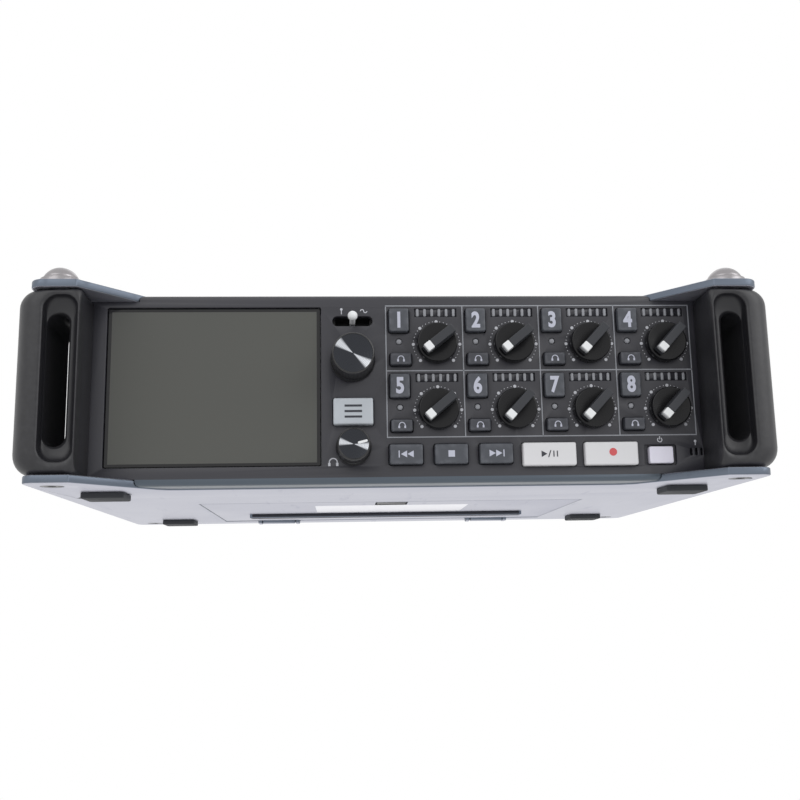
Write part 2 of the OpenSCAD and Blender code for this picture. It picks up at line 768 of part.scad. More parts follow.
// combination input: a flange on the wall, a round recess round a core, one large hole and three small ones
jack_depth = 25;
flange_l = 1.2;
recess_r = 9.6;
core_r = 7.6;
contact_r = 1.2;
contact_ring_r = 5.2;
module input_jack(y) {
  difference() {
    union() {
      rod_x(side_x - jack_depth, side_x - 0.4, y, input_z, input_r - 0.8);
      rod_x(side_x, side_x + flange_l, y, input_z, input_r);
      rod_x(side_x - 0.5, side_x + 0.1, y, input_z, input_r - 0.8);
    }
    difference() {
      rod_x(side_x - 11, side_x + 3, y, input_z, recess_r);
      rod_x(side_x - 12, side_x + 0.2, y, input_z, core_r);
    }
    rod_x(side_x - jack_depth + 2, side_x + 2, y, input_z, plug_r);
    for (a = [30, 150, 270]) {
      rod_x(side_x - 8, side_x + 2, y + contact_ring_r * cos(a), input_z + contact_ring_r * sin(a),
          contact_r);
    }
  }
}
module input_jacks() {
  color([0.1, 0.1, 0.1]) both_sides() for (k = [0 : 3]) input_jack(input_y0 + k * input_pitch);
}

// round socket on the left wall: barrel with a bore
module side_socket(y, r, barrel_r, depth) {
  mirror([1, 0, 0]) difference() {
    rod_x(side_x - depth - 2, side_x + 0.8, y, low_row_z, barrel_r);
    rod_x(side_x - depth, side_x + 2, y, low_row_z, r);
  }
}
mini_bore_r = 4.3;
mini_pin_r = 0.5;
mini_ring_r = 2.2;
module mini_output(y) {
  side_socket(y, mini_bore_r, out_rs[0] + 0.7, 11);
  mirror([1, 0, 0]) for (a = [90, 210, 330]) {
    rod_x(side_x - 11.5, side_x - 3, y + mini_ring_r * cos(a), low_row_z + mini_ring_r * sin(a),
        mini_pin_r);
  }
}
mini_wall = 1.9;
dc_pin_r = 0.55;
dc_pin_at = 2.1;
pod_wall = 1.5;
pod_tongue = 1.6;
reader_h = 8.4;
card_slot_h = 2.4;
card_slot_pitch = 4.2;
module small_sockets() {
  color([0.55, 0.55, 0.57]) {
    mini_output(out_ys[0]);
    mini_output(out_ys[1]);
    side_socket(out_ys[2], out_rs[2], out_rs[2] + mini_wall, 14);
    side_socket(out_ys[3], out_rs[3], out_rs[3] + mini_wall, 26);
    // flush round timecode sockets: a groove round a core with one contact
    for (x = timecode_xs) difference() {
      rear_rod(x, y_back - 12, y_rear, timecode_r);
      difference() {
        rear_rod(x, y_rear - 9, y_rear + 1, timecode_r - 0.7);
        rear_rod(x, y_rear - 10, y_rear - 1, 2.2);
      }
      rear_rod(x, y_rear - 6, y_rear + 1, 0.7);
    }
    // external supply socket with four pins
    difference() {
      rear_rod(dc_x, y_back - 10, y_rear - 0.2, dc_r + 0.7);
      rear_rod(dc_x, y_rear - 8, y_rear + 1, dc_r - 0.6);
    }
    for (a = [45 : 90 : 315]) {
      translate([dc_pin_at * cos(a), 0, dc_pin_at * sin(a)])
        rear_rod(dc_x, y_rear - 8.5, y_rear - 3, dc_pin_r);
    }
    // data socket
    difference() {
      along_y(y_back - 6, y_back + wall_t) translate([usb_x, rear_z])
        square([usb_size[0] + 1, usb_size[1] + 1], center = true);
      along_y(y_back - 4, y_rear) translate([usb_x, rear_z]) square(usb_size, center = true);
    }
    // microphone pod socket
    difference() {
      along_y(y_back - 14, y_back + wall_t) translate([pod_x, rear_z])
        round_rect(pod_size[0], pod_size[1], 1.2);
      along_y(y_back - 10, y_rear) translate([pod_x, rear_z]) 
        round_rect(pod_size[0] - 2 * pod_wall, pod_size[1] - 2 * pod_wall, 0.8);
    }
    along_y(y_back - 11, y_back - 3) translate([pod_x, rear_z])
      square([pod_size[0] - 12, pod_tongue], center = true);
    // card reader with two slots
    difference() {
      block([side_x - 26, card_y0 + 1.5, low_row_z - reader_h / 2],
            [side_x - wall_t, card_y0 + card_w - 1.5, low_row_z + reader_h / 2]);
      for (s = [-1, 1]) translate([0, 0, low_row_z + s * card_slot_pitch / 2]) {
        block([side_x - 24, card_y0 + 3.8, -card_slot_h / 2],
            [side_x, card_y0 + card_w - 3.8, card_slot_h / 2]);
      }
    }
  }
}
module rear_rod(x, y0, y1, r) {
  translate([x, y1, rear_z]) rotate([90, 0, 0]) cylinder(h = y1 - y0, r = r);
}

// ---------- power ----------

rail_w = 1.2;
post_at = [46, 24];
post_r = 3;
module battery_bay() {
  bay_w = case_w + 0.8;
  bay_d = case_d + 0.8;
  color([0.15, 0.15, 0.16]) {
    difference() {
      block([-bay_w / 2 - bay_wall, case_y - bay_d / 2 - bay_wall, case_z],
            [bay_w / 2 + bay_wall, case_y + bay_d / 2 + bay_wall, bay_top + bay_wall]);
      block([-bay_w / 2, case_y - bay_d / 2, case_z - 1], [bay_w / 2, case_y + bay_d / 2, bay_top]);
    }
    // the tray stands on two rails, so that the latch slides under its front wall
    for (s = [-1, 1]) translate([s * (bay_w / 2 + rail_w / 2 + 0.2), case_y, 0]) {
      block([-rail_w / 2, -bay_d / 2, z_low], [rail_w / 2, bay_d / 2, case_z - seat_air]);
    }
    for (s = [-1, 1]) for (t = [-1, 1])
      translate([s * post_at[0], case_y + t * post_at[1], bay_top + bay_wall - eps]) {
      cylinder(h = main_board_z - bay_top - bay_wall + eps, r = post_r);
    }
  }
}

module battery_case() {
  color([0.12, 0.12, 0.13]) difference() {
    block([-case_w / 2, case_y - case_d / 2, case_z], [case_w / 2, case_y + case_d / 2, case_z + case_h]);
    block([-case_w / 2 + case_wall, case_y - case_d / 2 + case_wall, case_z - 1],
          [case_w / 2 - case_wall, case_y + case_d / 2 - case_wall, case_z + case_h - case_wall]);
  }
}

module batteries() {
  row = cell_d + 0.3;
  color([0.75, 0.6, 0.3]) for (s = [-1, 1]) for (k = [-1.5 : 1.5]) {
    translate([0, case_y + k * row, case_z + 0.3 + cell_d / 2]) {
      rod_x(s > 0 ? 0.2 : -cell_l + 1.2, s > 0 ? cell_l - 1.2 : -0.2, 0, 0, cell_d / 2);
      rod_x(s > 0 ? cell_l - 1.3 : -cell_l, s > 0 ? cell_l : -cell_l + 1.3, 0, 0, 2.75);
    }
  }
}

grip_l = 87;
grip_w = 4;
grip_h = 1.2;
grip_y = door_y0 + 38.5;
latch_w = 8.4;
latch_slot = [9.2, 12];
latch_slot_y = door_y0 + 1.3;
latch_key = [4.4, 5.8];
module battery_door() {
  color([0.45, 0.48, 0.52]) {
    difference() {
      block([-door_w / 2, door_y0, foot_h], [door_w / 2, door_y1, foot_h + door_t]);
      block([-latch_slot[0] / 2, latch_slot_y, 0],
          [latch_slot[0] / 2, latch_slot_y + latch_slot[1], foot_h + 0.9]);
      block([-latch_key[0] / 2, door_y0 + 5.5, 0],
          [latch_key[0] / 2, door_y0 + 5.5 + latch_key[1], z_low + 1]);
    }
    block([-grip_l / 2, grip_y, foot_h - grip_h], [grip_l / 2, grip_y + grip_w, foot_h + eps]);
    for (x = hinge_xs) difference() {
      union() {
        rod_x(x - hinge_l / 2, x + hinge_l / 2, hinge_y, hinge_z, hinge_r);
        block([x - hinge_l / 2, door_y1 - eps, hinge_z], [x + hinge_l / 2, hinge_y, hinge_z + hinge_r]);
      }
      rod_x(x - hinge_l / 2 - 1, x + hinge_l / 2 + 1, hinge_y, hinge_z, hinge_pin_r + fit);
    }
  }
}

// sliding latch in the door; pushed forward its tongue goes over the plate's edge
module door_latch() {
  y0 = door_y0 + 3.2;
  color([0.16, 0.16, 0.17]) {
    block([-latch_w / 2, y0 + 0.2, foot_h + 0.1], [latch_w / 2, y0 + 8.6, foot_h + 0.8]);
    block([-1.8, y0 + 4.4, foot_h + 0.8 - eps], [1.8, y0 + 7.6, z_low + latch_air + eps]);
    block([-latch_w / 2, y0 - 2.6, z_low + latch_air],
        [latch_w / 2, y0 + 8.6, z_low + latch_air + latch_plate_t]);
  }
}

// ---------- card door ----------

card_barrel_r = 0.8;
card_notch = [10, 1.8];
module card_door() {
  z0 = low_row_z - card_h / 2;
  color([0.16, 0.16, 0.17]) {
    difference() {
      union() {
        block([side_x - 1.5, card_y0, z0 + 2], [side_x, card_y0 + card_w, z0 + card_h]);
        translate([card_hinge_x, card_y0, card_hinge_z]) rotate([-90, 0, 0])
          cylinder(h = card_w, r = card_barrel_r);
        block([card_hinge_x - 0.6, card_y0, card_hinge_z],
            [card_hinge_x + 0.6, card_y0 + card_w, z0 + 2 + eps]);
      }
      block([side_x - 0.5, card_y0 + card_w / 2 - card_notch[0] / 2, z0 + card_h - card_notch[1]],
            [side_x + 1, card_y0 + card_w / 2 + card_notch[0] / 2, z0 + card_h + 1]);
    }
    translate([card_hinge_x, card_y0 - 1.3, card_hinge_z]) rotate([-90, 0, 0])
      cylinder(h = card_w + 2.6, r = card_pin_r);
  }
}

top_plate();
bottom_plate();
front_panel();
left_side_panel();
right_side_panel();
rear_panel();
left_handle();
right_handle();
ear_bolts();
plate_screws();
rubber_feet();
display_window();
display_module();
light_lenses();
circuit_boards();
potentiometers();
key_switches();
input_jacks();
small_sockets();
battery_bay();
battery_case();
batteries();
battery_door();
door_latch();
card_door();
track_button(1);  // track_button_1
track_button(2);  // track_button_2
track_button(3);  // track_button_3
track_button(4);  // track_button_4
track_button(5);  // track_button_5
track_button(6);  // track_button_6
track_button(7);  // track_button_7
track_button(8);  // track_button_8
solo_button(1);  // solo_button_1
solo_button(2);  // solo_button_2
solo_button(3);  // solo_button_3
solo_button(4);  // solo_button_4
solo_button(5);  // solo_button_5
solo_button(6);  // solo_button_6
solo_button(7);  // solo_button_7
solo_button(8);  // solo_button_8
trim_knob(1);  // trim_knob_1
trim_knob(2);  // trim_knob_2
trim_knob(3);  // trim_knob_3
trim_knob(4);  // trim_knob_4
trim_knob(5);  // trim_knob_5
trim_knob(6);  // trim_knob_6
trim_knob(7);  // trim_knob_7
trim_knob(8);  // trim_knob_8
rewind_button();
stop_button();
forward_button();
play_button();
record_button();
power_button();
menu_button();
select_shaft();
select_knob();
headphone_knob();
slate_switch();
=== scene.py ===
import json
import math

import bmesh
import bpy
import numpy as np
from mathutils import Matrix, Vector


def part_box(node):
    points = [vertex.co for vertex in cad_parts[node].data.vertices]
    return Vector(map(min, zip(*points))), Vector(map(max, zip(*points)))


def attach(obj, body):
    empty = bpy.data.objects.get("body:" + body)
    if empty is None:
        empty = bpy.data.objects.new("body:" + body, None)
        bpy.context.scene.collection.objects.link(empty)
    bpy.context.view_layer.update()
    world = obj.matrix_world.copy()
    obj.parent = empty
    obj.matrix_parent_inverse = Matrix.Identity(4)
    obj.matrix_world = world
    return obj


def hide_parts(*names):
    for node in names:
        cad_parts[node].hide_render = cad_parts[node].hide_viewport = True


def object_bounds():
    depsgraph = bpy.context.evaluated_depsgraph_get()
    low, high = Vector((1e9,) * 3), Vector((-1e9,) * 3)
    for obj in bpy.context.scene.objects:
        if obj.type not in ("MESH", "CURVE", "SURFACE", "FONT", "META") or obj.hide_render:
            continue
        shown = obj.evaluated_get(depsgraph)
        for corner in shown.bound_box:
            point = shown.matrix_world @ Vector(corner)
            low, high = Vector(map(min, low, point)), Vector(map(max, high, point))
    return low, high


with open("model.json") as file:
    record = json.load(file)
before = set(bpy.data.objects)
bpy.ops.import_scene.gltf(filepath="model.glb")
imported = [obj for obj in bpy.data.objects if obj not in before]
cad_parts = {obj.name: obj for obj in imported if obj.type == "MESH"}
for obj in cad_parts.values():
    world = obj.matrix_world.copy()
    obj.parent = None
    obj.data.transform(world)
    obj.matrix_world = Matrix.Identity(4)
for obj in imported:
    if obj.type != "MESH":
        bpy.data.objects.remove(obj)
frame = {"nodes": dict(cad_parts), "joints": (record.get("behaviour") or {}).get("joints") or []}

cad_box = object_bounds()
mm = 0.001


# ---------- studio ----------
# A white table and a white wall, lit by two large soft boxes and the bounce of the room.
# The camera looks a little up at the control side, so the floor shows only from above.

scene = bpy.context.scene
scene.view_settings.view_transform = "Standard"

front_y = cad_box[0].y
lens = bpy.data.cameras.new("camera")
lens.lens = 46.14
lens.sensor_width = 36
lens.clip_start = 10 * mm
camera = bpy.data.objects.new("camera", lens)
camera.location = (-14.4 * mm, front_y - 231.86 * mm, -24.1 * mm)
camera.rotation_euler = [math.radians(turn) for turn in (100.69, 1.03, -3.17)]
scene.collection.objects.link(camera)
scene.camera = camera


def soft_box(name, place, size, power):
    """A square soft box that faces the middle of the object."""
    light = bpy.data.lights.new(name, "AREA")
    light.shape = "SQUARE"
    light.size = size
    light.energy = power
    lamp = bpy.data.objects.new(name, light)
    lamp.location = place
    aim = Vector((0, 0, 0.03)) - Vector(place)
    lamp.rotation_euler = aim.to_track_quat("-Z", "Y").to_euler()
    scene.collection.objects.link(lamp)


soft_box("key_light", (1.15, -0.75, 0.75), 1.1, 7)
soft_box("fill_light", (-0.9, -1.1, 1.0), 1.3, 5.5)
soft_box("rear_light", (0.2, 1.3, 1.1), 1.2, 2)

world = bpy.data.worlds.new("room")
scene.world = world
world.use_nodes = True
air = world.node_tree.nodes["Background"]
air.inputs["Color"].default_value = (1, 1, 1, 1)
path = world.node_tree.nodes.new("ShaderNodeLightPath")
room_level = 0.7
seen = path.outputs["Is Camera Ray"]
for other in ("Is Glossy Ray", "Is Transmission Ray"):
    either = world.node_tree.nodes.new("ShaderNodeMath")
    either.operation = "MAXIMUM"
    world.node_tree.links.new(seen, either.inputs[0])
    world.node_tree.links.new(path.outputs[other], either.inputs[1])
    seen = either.outputs[0]
level = world.node_tree.nodes.new("ShaderNodeMapRange")
level.inputs["To Min"].default_value = room_level
world.node_tree.links.new(seen, level.inputs["Value"])
world.node_tree.links.new(level.outputs[0], air.inputs["Strength"])


# ---------- finishes ----------
# Every finish is worked out per point: a base colour, its patches, fine grain, and paler edges that stand
# for scuffing and for a painted edge highlight.
# Object coordinates are in metres, so a pattern's size is given in metres too.

def tone(red, green, blue):
    """A colour from its 0 to 255 display values, as linear numbers for the shader."""
    share = np.array([red, green, blue]) / 255
    linear = np.where(share <= 0.04045, share / 12.92, ((share + 0.055) / 1.055) ** 2.4)
    return (*linear.tolist(), 1.0)


class Value:
    """A number that the shader works out at each point. Arithmetic on it adds Math nodes."""

    def __init__(self, finish, socket):
        self.finish = finish
        self.socket = socket

    def math(self, operation, *others):
        return self.finish.node("ShaderNodeMath", {"operation": operation}, [self, *others])

    def __add__(self, other):
        return self.math("ADD", other)

    def __sub__(self, other):
        return self.math("SUBTRACT", other)

    def __mul__(self, other):
        return self.math("MULTIPLY", other)

    def __truediv__(self, other):
        return self.math("DIVIDE", other)

    def __rsub__(self, other):
        return self.finish.node("ShaderNodeMath", {"operation": "SUBTRACT"}, [other, self])

    __radd__ = __add__
    __rmul__ = __mul__

    def between(self, low, high):
        """0 under low, 1 over high, and a smooth step from one to the other."""
        span = {"interpolation_type": "SMOOTHSTEP"}
        ends = {"Value": self, "From Min": low, "From Max": high}
        return self.finish.node("ShaderNodeMapRange", span, ends)


class Finish:
    """One surface finish round a Principled shader."""

    def __init__(self, name):
        self.material = bpy.data.materials.new(name)
        self.material.use_nodes = True
        self.tree = self.material.node_tree
        self.shader = self.tree.nodes["Principled BSDF"]
        self.place = self.node("ShaderNodeTexCoord", output="Object")

    def node(self, kind, settings=None, inputs=(), output=0):
        """Adds a node of that kind: its settings first, then the values or links of its sockets."""
        made = self.tree.nodes.new(kind)
        for name, value in (settings or {}).items():
            setattr(made, name, value)
        pairs = inputs.items() if isinstance(inputs, dict) else enumerate(inputs)
        for key, value in pairs:
            self.feed(made.inputs[key], value)
        return Value(self, made.outputs[output])

    def feed(self, socket, value):
        if isinstance(value, Value):
            self.tree.links.new(value.socket, socket)
        else:
            socket.default_value = value

    def noise(self, size, detail=2.0, stretch=(1, 1, 1)):
        """Cloudy noise from 0 to 1 whose patches are about size metres across."""
        place = self.place
        if stretch != (1, 1, 1):
            place = self.node("ShaderNodeMapping", {}, {"Vector": place, "Scale": stretch})
        return self.node("ShaderNodeTexNoise", {}, {"Vector": place, "Scale": 1 / size, "Detail": detail})

    def axis(self, name):
        """One object coordinate, in metres."""
        return self.node("ShaderNodeSeparateXYZ", {}, [self.place], output=name)

    def mix(self, share, first, second):
        """The first colour where share is 0 and the second where it is 1."""
        return self.node("ShaderNodeMix", {"data_type": "RGBA"}, {0: share, 6: first, 7: second}, output=2)

    def worn_edge(self):
        """1 on the rounded edges that a piece marks in its edge attribute, 0 elsewhere."""
        return self.node("ShaderNodeAttribute", {"attribute_name": "edge"}, output="Fac")

    def relief(self, height, depth):
        """Bumps depth metres deep where height goes from 0 to 1."""
        bumps = self.node("ShaderNodeBump", {}, {"Height": height, "Distance": depth, "Strength": 1.0})
        self.feed(self.shader.inputs["Normal"], bumps)

    def sockets(self, **values):
        """Sets or links the shader's own sockets; an underscore stands for a space."""
        for name, value in values.items():
            self.feed(self.shader.inputs[name.replace("_", " ")], value)
        return self.material


def moulded(name, colour, roughness, grain=0.25 * mm, depth=0.006 * mm, wear_and_sheen=0.25, gloss=0.5, patch=0.1):
    """Moulded plastic or paint: fine grain, slow patches in its sheen, and rounded edges paler in patches,
    partly scuffing and partly a painted edge highlight.
    """
    finish = Finish(name)
    cloud = finish.noise(14 * mm, 3)
    speck = finish.noise(grain, 1)
    shade = finish.mix(cloud * patch, colour, [c * 0.6 for c in colour[:3]] + [1])
    # Paler rounded edges in patches: partly scuffing, partly a painted edge highlight.
    edge_wear_and_sheen = finish.worn_edge() * finish.noise(1.5 * mm, 3).between(0.35, 0.7) * wear_and_sheen
    pale = [min(1, c * 1.6 + 0.03) for c in colour[:3]] + [1]
    finish.relief(speck, depth)
    return finish.sockets(
        Base_Color=finish.mix(edge_wear_and_sheen, shade, pale),
        Roughness=cloud * 0.12 + speck * 0.08 + (roughness - 0.1),
        Specular_IOR_Level=gloss)


def metal(name, colour, roughness, grain=0.15 * mm, stretch=(1, 1, 1), depth=0.002 * mm):
    """Bare or plated metal: brushed or tumbled grain, with slow patches in its sheen."""
    finish = Finish(name)
    cloud = finish.noise(9 * mm, 3)
    lines = finish.noise(grain, 2, stretch)
    finish.relief(lines, depth)
    dull = [c * 0.72 for c in colour[:3]] + [1]
    return finish.sockets(
        Base_Color=finish.mix(cloud * 0.3 + lines * 0.25, colour, dull),
        Roughness=cloud * 0.1 + lines * 0.12 + (roughness - 0.1),
        Metallic=1.0)


# ---------- meshes ----------
# A new piece is a stack of rings: each ring is a closed outline, and the skin joins it to
# the next. Every mesh is placed in the row frame, so its object stays at the origin.

def rest_on(name, mesh, finish, body, stands_for=()):
    """Links a mesh as a piece that moves with a body and takes its finish from a slot."""
    piece = bpy.data.objects.new(name, mesh)
    scene.collection.objects.link(piece)
    mesh.materials.clear()
    mesh.materials.append(finish)
    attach(piece, body)
    if stands_for:
        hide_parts(*stands_for)
    return piece


weld = 0.0005 * mm


def closed_mesh(name, points, faces, edge=None):
    """A smooth closed mesh whose faces point outwards, with its per-point values for the paler edges."""
    mesh = bpy.data.meshes.new(name)
    mesh.from_pydata(np.asarray(points).tolist(), [], faces)
    if edge is not None:
        mark = mesh.attributes.new("edge", "FLOAT", "POINT")
        mark.data.foreach_set("value", np.asarray(edge, np.float32))
    work = bmesh.new()
    work.from_mesh(mesh)
    bmesh.ops.remove_doubles(work, verts=work.verts, dist=weld)
    bmesh.ops.recalc_face_normals(work, faces=work.faces)
    work.to_mesh(mesh)
    work.free()
    mesh.polygons.foreach_set("use_smooth", np.ones(len(mesh.polygons), bool))
    return mesh


def skin_faces(count, around, loop=False, first=0):
    """Quads that join each ring of points to the next; the ends are closed unless it loops."""
    step = np.arange(count if loop else count - 1)[:, None] * around
    along = np.arange(around)[None]
    turn = (along + 1) % around
    total = count * around
    quads = np.stack([step + along, step + turn, (step + around + turn) % total,
                      (step + around + along) % total], -1).reshape(-1, 4) + first
    ends = [] if loop else [(np.arange(around) + first).tolist(),
                            (np.arange(around) + first + total - around).tolist()]
    return quads.tolist() + ends


def box_outline(x0, x1, z0, z1, radii, steps=6):
    """Rounded rectangle, anticlockwise from its right lower corner: a quarter circle at each
    corner, so that point k of one outline matches point k of any other."""
    radii = np.broadcast_to(radii, 4).astype(float)
    angle = np.linspace(0, np.pi / 2, steps)[None] + np.arange(4)[:, None] * np.pi / 2 - np.pi / 2
    centre_x = np.array([x1, x1, x0, x0]) + np.array([-1, -1, 1, 1]) * radii
    centre_z = np.array([z0, z1, z1, z0]) + np.array([1, -1, -1, 1]) * radii
    x = centre_x[:, None] + radii[:, None] * np.cos(angle)
    z = centre_z[:, None] + radii[:, None] * np.sin(angle)
    return np.stack([x.ravel(), z.ravel()], -1)


def raised_pad(at, size, corner, profile, face_y):
    """Rings of a rounded pad on the panel: each (inset, rise) of the profile draws the outline
    that much smaller and that far in front of the face."""
    rings = []
    for inset, rise in profile:
        half = np.array(size) / 2 - inset
        flat = box_outline(at[0] - half[0], at[0] + half[0], at[1] - half[1], at[1] + half[1],
                           max(corner - inset, 0.02 * mm))
        rings.append(np.insert(flat, 1, face_y - rise, axis=1))
    return np.array(rings)


def turned(at, profile, face_y, around=64, flutes=0, flute_depth=0.0, fluted=(1, 0)):
    """Rings of a turned shape on the panel: a radius and a rise per ring, swept round the axis.
    Between the two fluted rises the radius waves in and out by the flute depth."""
    profile = np.array(profile)
    angle = np.linspace(0, 2 * np.pi, around, endpoint=False)[None]
    inside = (profile[:, 1] >= fluted[0]) & (profile[:, 1] <= fluted[1])
    radius = profile[:, :1] - inside[:, None] * flute_depth * (0.5 + 0.5 * np.cos(flutes * angle))
    return np.stack([at[0] + radius * np.cos(angle),
                     np.broadcast_to(face_y - profile[:, 1:], radius.shape),
                     at[1] + radius * np.sin(angle)], -1)


def ring_piece(name, rings, finish, body, stands_for=(), loop=False, edge=None):
    """A closed piece from its rings, with normals weighted so that flat faces stay flat."""
    count, around = rings.shape[:2]
    marks = None if edge is None else np.repeat(np.asarray(edge, float), around)
    mesh = closed_mesh(name, rings.reshape(-1, 3), skin_faces(count, around, loop), marks)
    piece = rest_on(name, mesh, finish, body, stands_for)
    piece.modifiers.new("flat_faces", "WEIGHTED_NORMAL")
    return piece


def quarter(radius, steps=4):
    """A rounded edge as (inset, drop) pairs: a quarter circle from the side up to the top."""
    angle = np.linspace(0, np.pi / 2, steps)
    return [(radius * (1 - math.cos(a)), radius * (1 - math.sin(a))) for a in angle]


def eased(node, width, finish, body="case", segments=2):
    """A CAD piece with its sharp edges rounded over: a merged copy with its flat faces joined,
    then a bevel on every edge sharper than 30 degrees."""
    mesh = frame["nodes"][node].data.copy()
    mesh.name = node + "_eased"
    work = bmesh.new()
    work.from_mesh(mesh)
    bmesh.ops.remove_doubles(work, verts=work.verts, dist=weld)
    bmesh.ops.dissolve_limit(work, angle_limit=math.radians(0.4), verts=work.verts, edges=work.edges)
    work.to_mesh(mesh)
    work.free()
    mesh.polygons.foreach_set("use_smooth", np.ones(len(mesh.polygons), bool))
    piece = rest_on(node + "_eased", mesh, finish, body, [node])
    bevel = piece.modifiers.new("eased_edges", "BEVEL")
    bevel.width = width
    bevel.segments = segments
    bevel.limit_method = "ANGLE"
    bevel.angle_limit = math.radians(30)
    bevel.use_clamp_overlap = False
    bevel.harden_normals = True
    return piece


def finish_node(node, finish):
    """Gives a CAD piece that stays as it is its own finish."""
    mesh = frame["nodes"][node].data
    mesh.materials.clear()
    mesh.materials.append(finish)


# ---------- plates ----------
# Two flat plates of cut aluminium sheet carry everything else; their ears reach forward over
# the handles. The faces are bead blasted and anodised pale; the cut edges' darker teal is painted shade.

def anodised(name):
    """Blasted and anodised aluminium; its side faces get a darker teal that is painted shade."""
    finish = Finish(name)
    facing = finish.node("ShaderNodeTexCoord", output="Normal")
    up = finish.node("ShaderNodeSeparateXYZ", {}, [facing], output="Z").math("ABSOLUTE")
    flat = up.between(0.55, 0.95)
    cloud = finish.noise(22 * mm, 3)
    blast = finish.noise(0.12 * mm, 1)
    scuffs = finish.noise(3 * mm, 4, (1, 0.12, 1)).between(0.62, 0.72) * 0.15
    face = finish.mix(cloud * 0.35, tone(192, 193, 204), tone(172, 174, 186))
    # Painted shade: faces that point sideways get the darker teal, faces that point up or down the pale
    # tone.
    edge = finish.mix(cloud * 0.4, tone(108, 116, 128), tone(90, 98, 110))
    finish.relief(blast, 0.004 * mm)
    return finish.sockets(
        Base_Color=finish.mix(flat, edge, face),
        Metallic=0.9,
        Roughness=cloud * 0.08 + scuffs + blast * 0.06 + 0.36)


plate_finish = anodised("anodised_plate")
eased("top_plate", 0.35 * mm, plate_finish, segments=3)
eased("bottom_plate", 0.35 * mm, plate_finish, segments=3)


# ---------- fixings and feet ----------
# Stainless domed bolts on bushes hold the ears to the handles; black countersunk screws hold
# the plates to the walls. Four moulded rubber feet are stuck to the bottom plate.

steel = metal("stainless", tone(158, 155, 157), 0.32)
eased("ear_bolts", 0.12 * mm, steel)
eased("plate_screws", 0.06 * mm, metal("black_screw", tone(70, 70, 74), 0.35))
eased("rubber_feet", 0.25 * mm, moulded("rubber", tone(52, 54, 58), 0.75, 0.4 * mm, 0.02 * mm))


# ---------- housing ----------
# The charcoal front panel is painted aluminium with rolled edges. The walls behind it are
# black powder-coated sheet, folded outwards behind the handles.

panel_paint = moulded("panel_black", tone(53, 53, 59), 0.42, 0.18 * mm, 0.004 * mm)
wall_paint = moulded("case_black", tone(38, 38, 41), 0.55, 0.35 * mm, 0.02 * mm)


def lipped_paint():
    """Charcoal paint on the panel; its lower lip is bare anodised metal in a dark slate that is painted
    shade, like the plates' side faces.
    """
    finish = Finish("panel_lipped")
    lip = 1 - finish.axis("Z").between(3.35 * mm, 3.5 * mm)
    cloud = finish.noise(14 * mm, 3)
    speck = finish.noise(0.18 * mm, 1)
    paint = finish.mix(cloud * 0.1, tone(53, 53, 59), tone(42, 42, 47))
    finish.relief(speck, 0.004 * mm)
    return finish.sockets(
        # The lip's dark slate is painted shade, the same as on the plates' side faces.
        Base_Color=finish.mix(lip, paint, tone(88, 96, 105)),
        Roughness=cloud * 0.12 + speck * 0.08 + 0.32 - lip * 0.08,
        Metallic=lip * 0.9)


eased("front_panel", 0.1 * mm, lipped_paint())
for wall in ("left_side_panel", "right_side_panel", "rear_panel"):
    eased(wall, 0.25 * mm, wall_paint)


# ---------- handles ----------
# Each handle is one glass-filled nylon moulding with a wide rounded face. A scoop in the face
# leads into a slot that goes right through, so that fingers or a strap can pass.

handle_nylon = moulded("handle_black", tone(30, 30, 34), 0.4, 0.3 * mm, 0.008 * mm, 0.3)
panel_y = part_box("track_button_1")[0].y + 1.5 * mm
panel_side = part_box("front_panel")[1].x


def handle_rings(low, high):
    """Rings of the right-hand handle, from the slot's mouth up the scoop, over the face, round
    the outside, across the back and down the slot: between two matching outlines the skin
    follows a quarter circle, sin one way and 1 - cos the other."""
    slot = box_outline(low.x + 3 * mm, low.x + 8.2 * mm, low.z + 6.6 * mm, high.z - 5.8 * mm, 2.55 * mm, 9)
    rim = box_outline(low.x + 0.75 * mm, low.x + 8.6 * mm, low.z + 2.9 * mm, high.z - 1.7 * mm,
                      np.array([3.4, 3.4, 3, 3]) * mm, 9)
    land = box_outline(low.x + 0.4 * mm, low.x + 9.4 * mm, low.z + 1.4 * mm, high.z - 1 * mm,
                       np.array([3.8, 3.4, 3, 3]) * mm, 9)
    side = box_outline(low.x, high.x, low.z, high.z, np.array([5, 4, 1.2, 1.2]) * mm, 9)
    back = box_outline(panel_side + 0.3 * mm, high.x, low.z, high.z, np.array([5, 4, 1.2, 1.2]) * mm, 9)
    scoop_depth = 2.6 * mm
    rings, edge_marks = [], []

    def add(flat, depth, edge=0.0):
        y = np.broadcast_to(low.y + depth, len(flat))
        rings.append(np.stack([flat[:, 0], y, flat[:, 1]], -1))
        edge_marks.append(edge)

    for turn in np.linspace(np.pi / 2, 0, 9):
        share = 1 - math.cos(turn)
        add(rim + (slot - rim) * share, 0.35 * mm + scoop_depth * math.sin(turn))
    add(rim + (land - rim) * 0.3, 0.1 * mm, 1)
    add(rim + (land - rim) * 0.7, 0, 1)
    reach = np.linalg.norm(side - land, axis=1)
    for turn in np.linspace(0, np.pi / 2, 10):
        add(land + (side - land) * math.sin(turn), reach * (1 - math.cos(turn)), 0.5)
    step = panel_y - low.y - 0.35 * mm
    length = high.y - low.y
    add(side, step)
    add(back, step + 0.05 * mm)
    add(back, length - 0.8 * mm)
    middle = (slot.min(0) + slot.max(0)) / 2
    for turn in (30, 60, 90):
        inset = 0.8 * mm * (1 - math.cos(math.radians(turn)))
        shrunk = back + (middle - back) * inset / (8 * mm)
        add(shrunk, length - 0.8 * mm * (1 - math.sin(math.radians(turn))), 1)
    add(slot + (slot - middle) * 0.12, length, 1)
    add(slot, length - 0.5 * mm, 1)
    return np.array(rings), edge_marks


def mirrored(rings):
    return rings * np.array([-1, 1, 1])


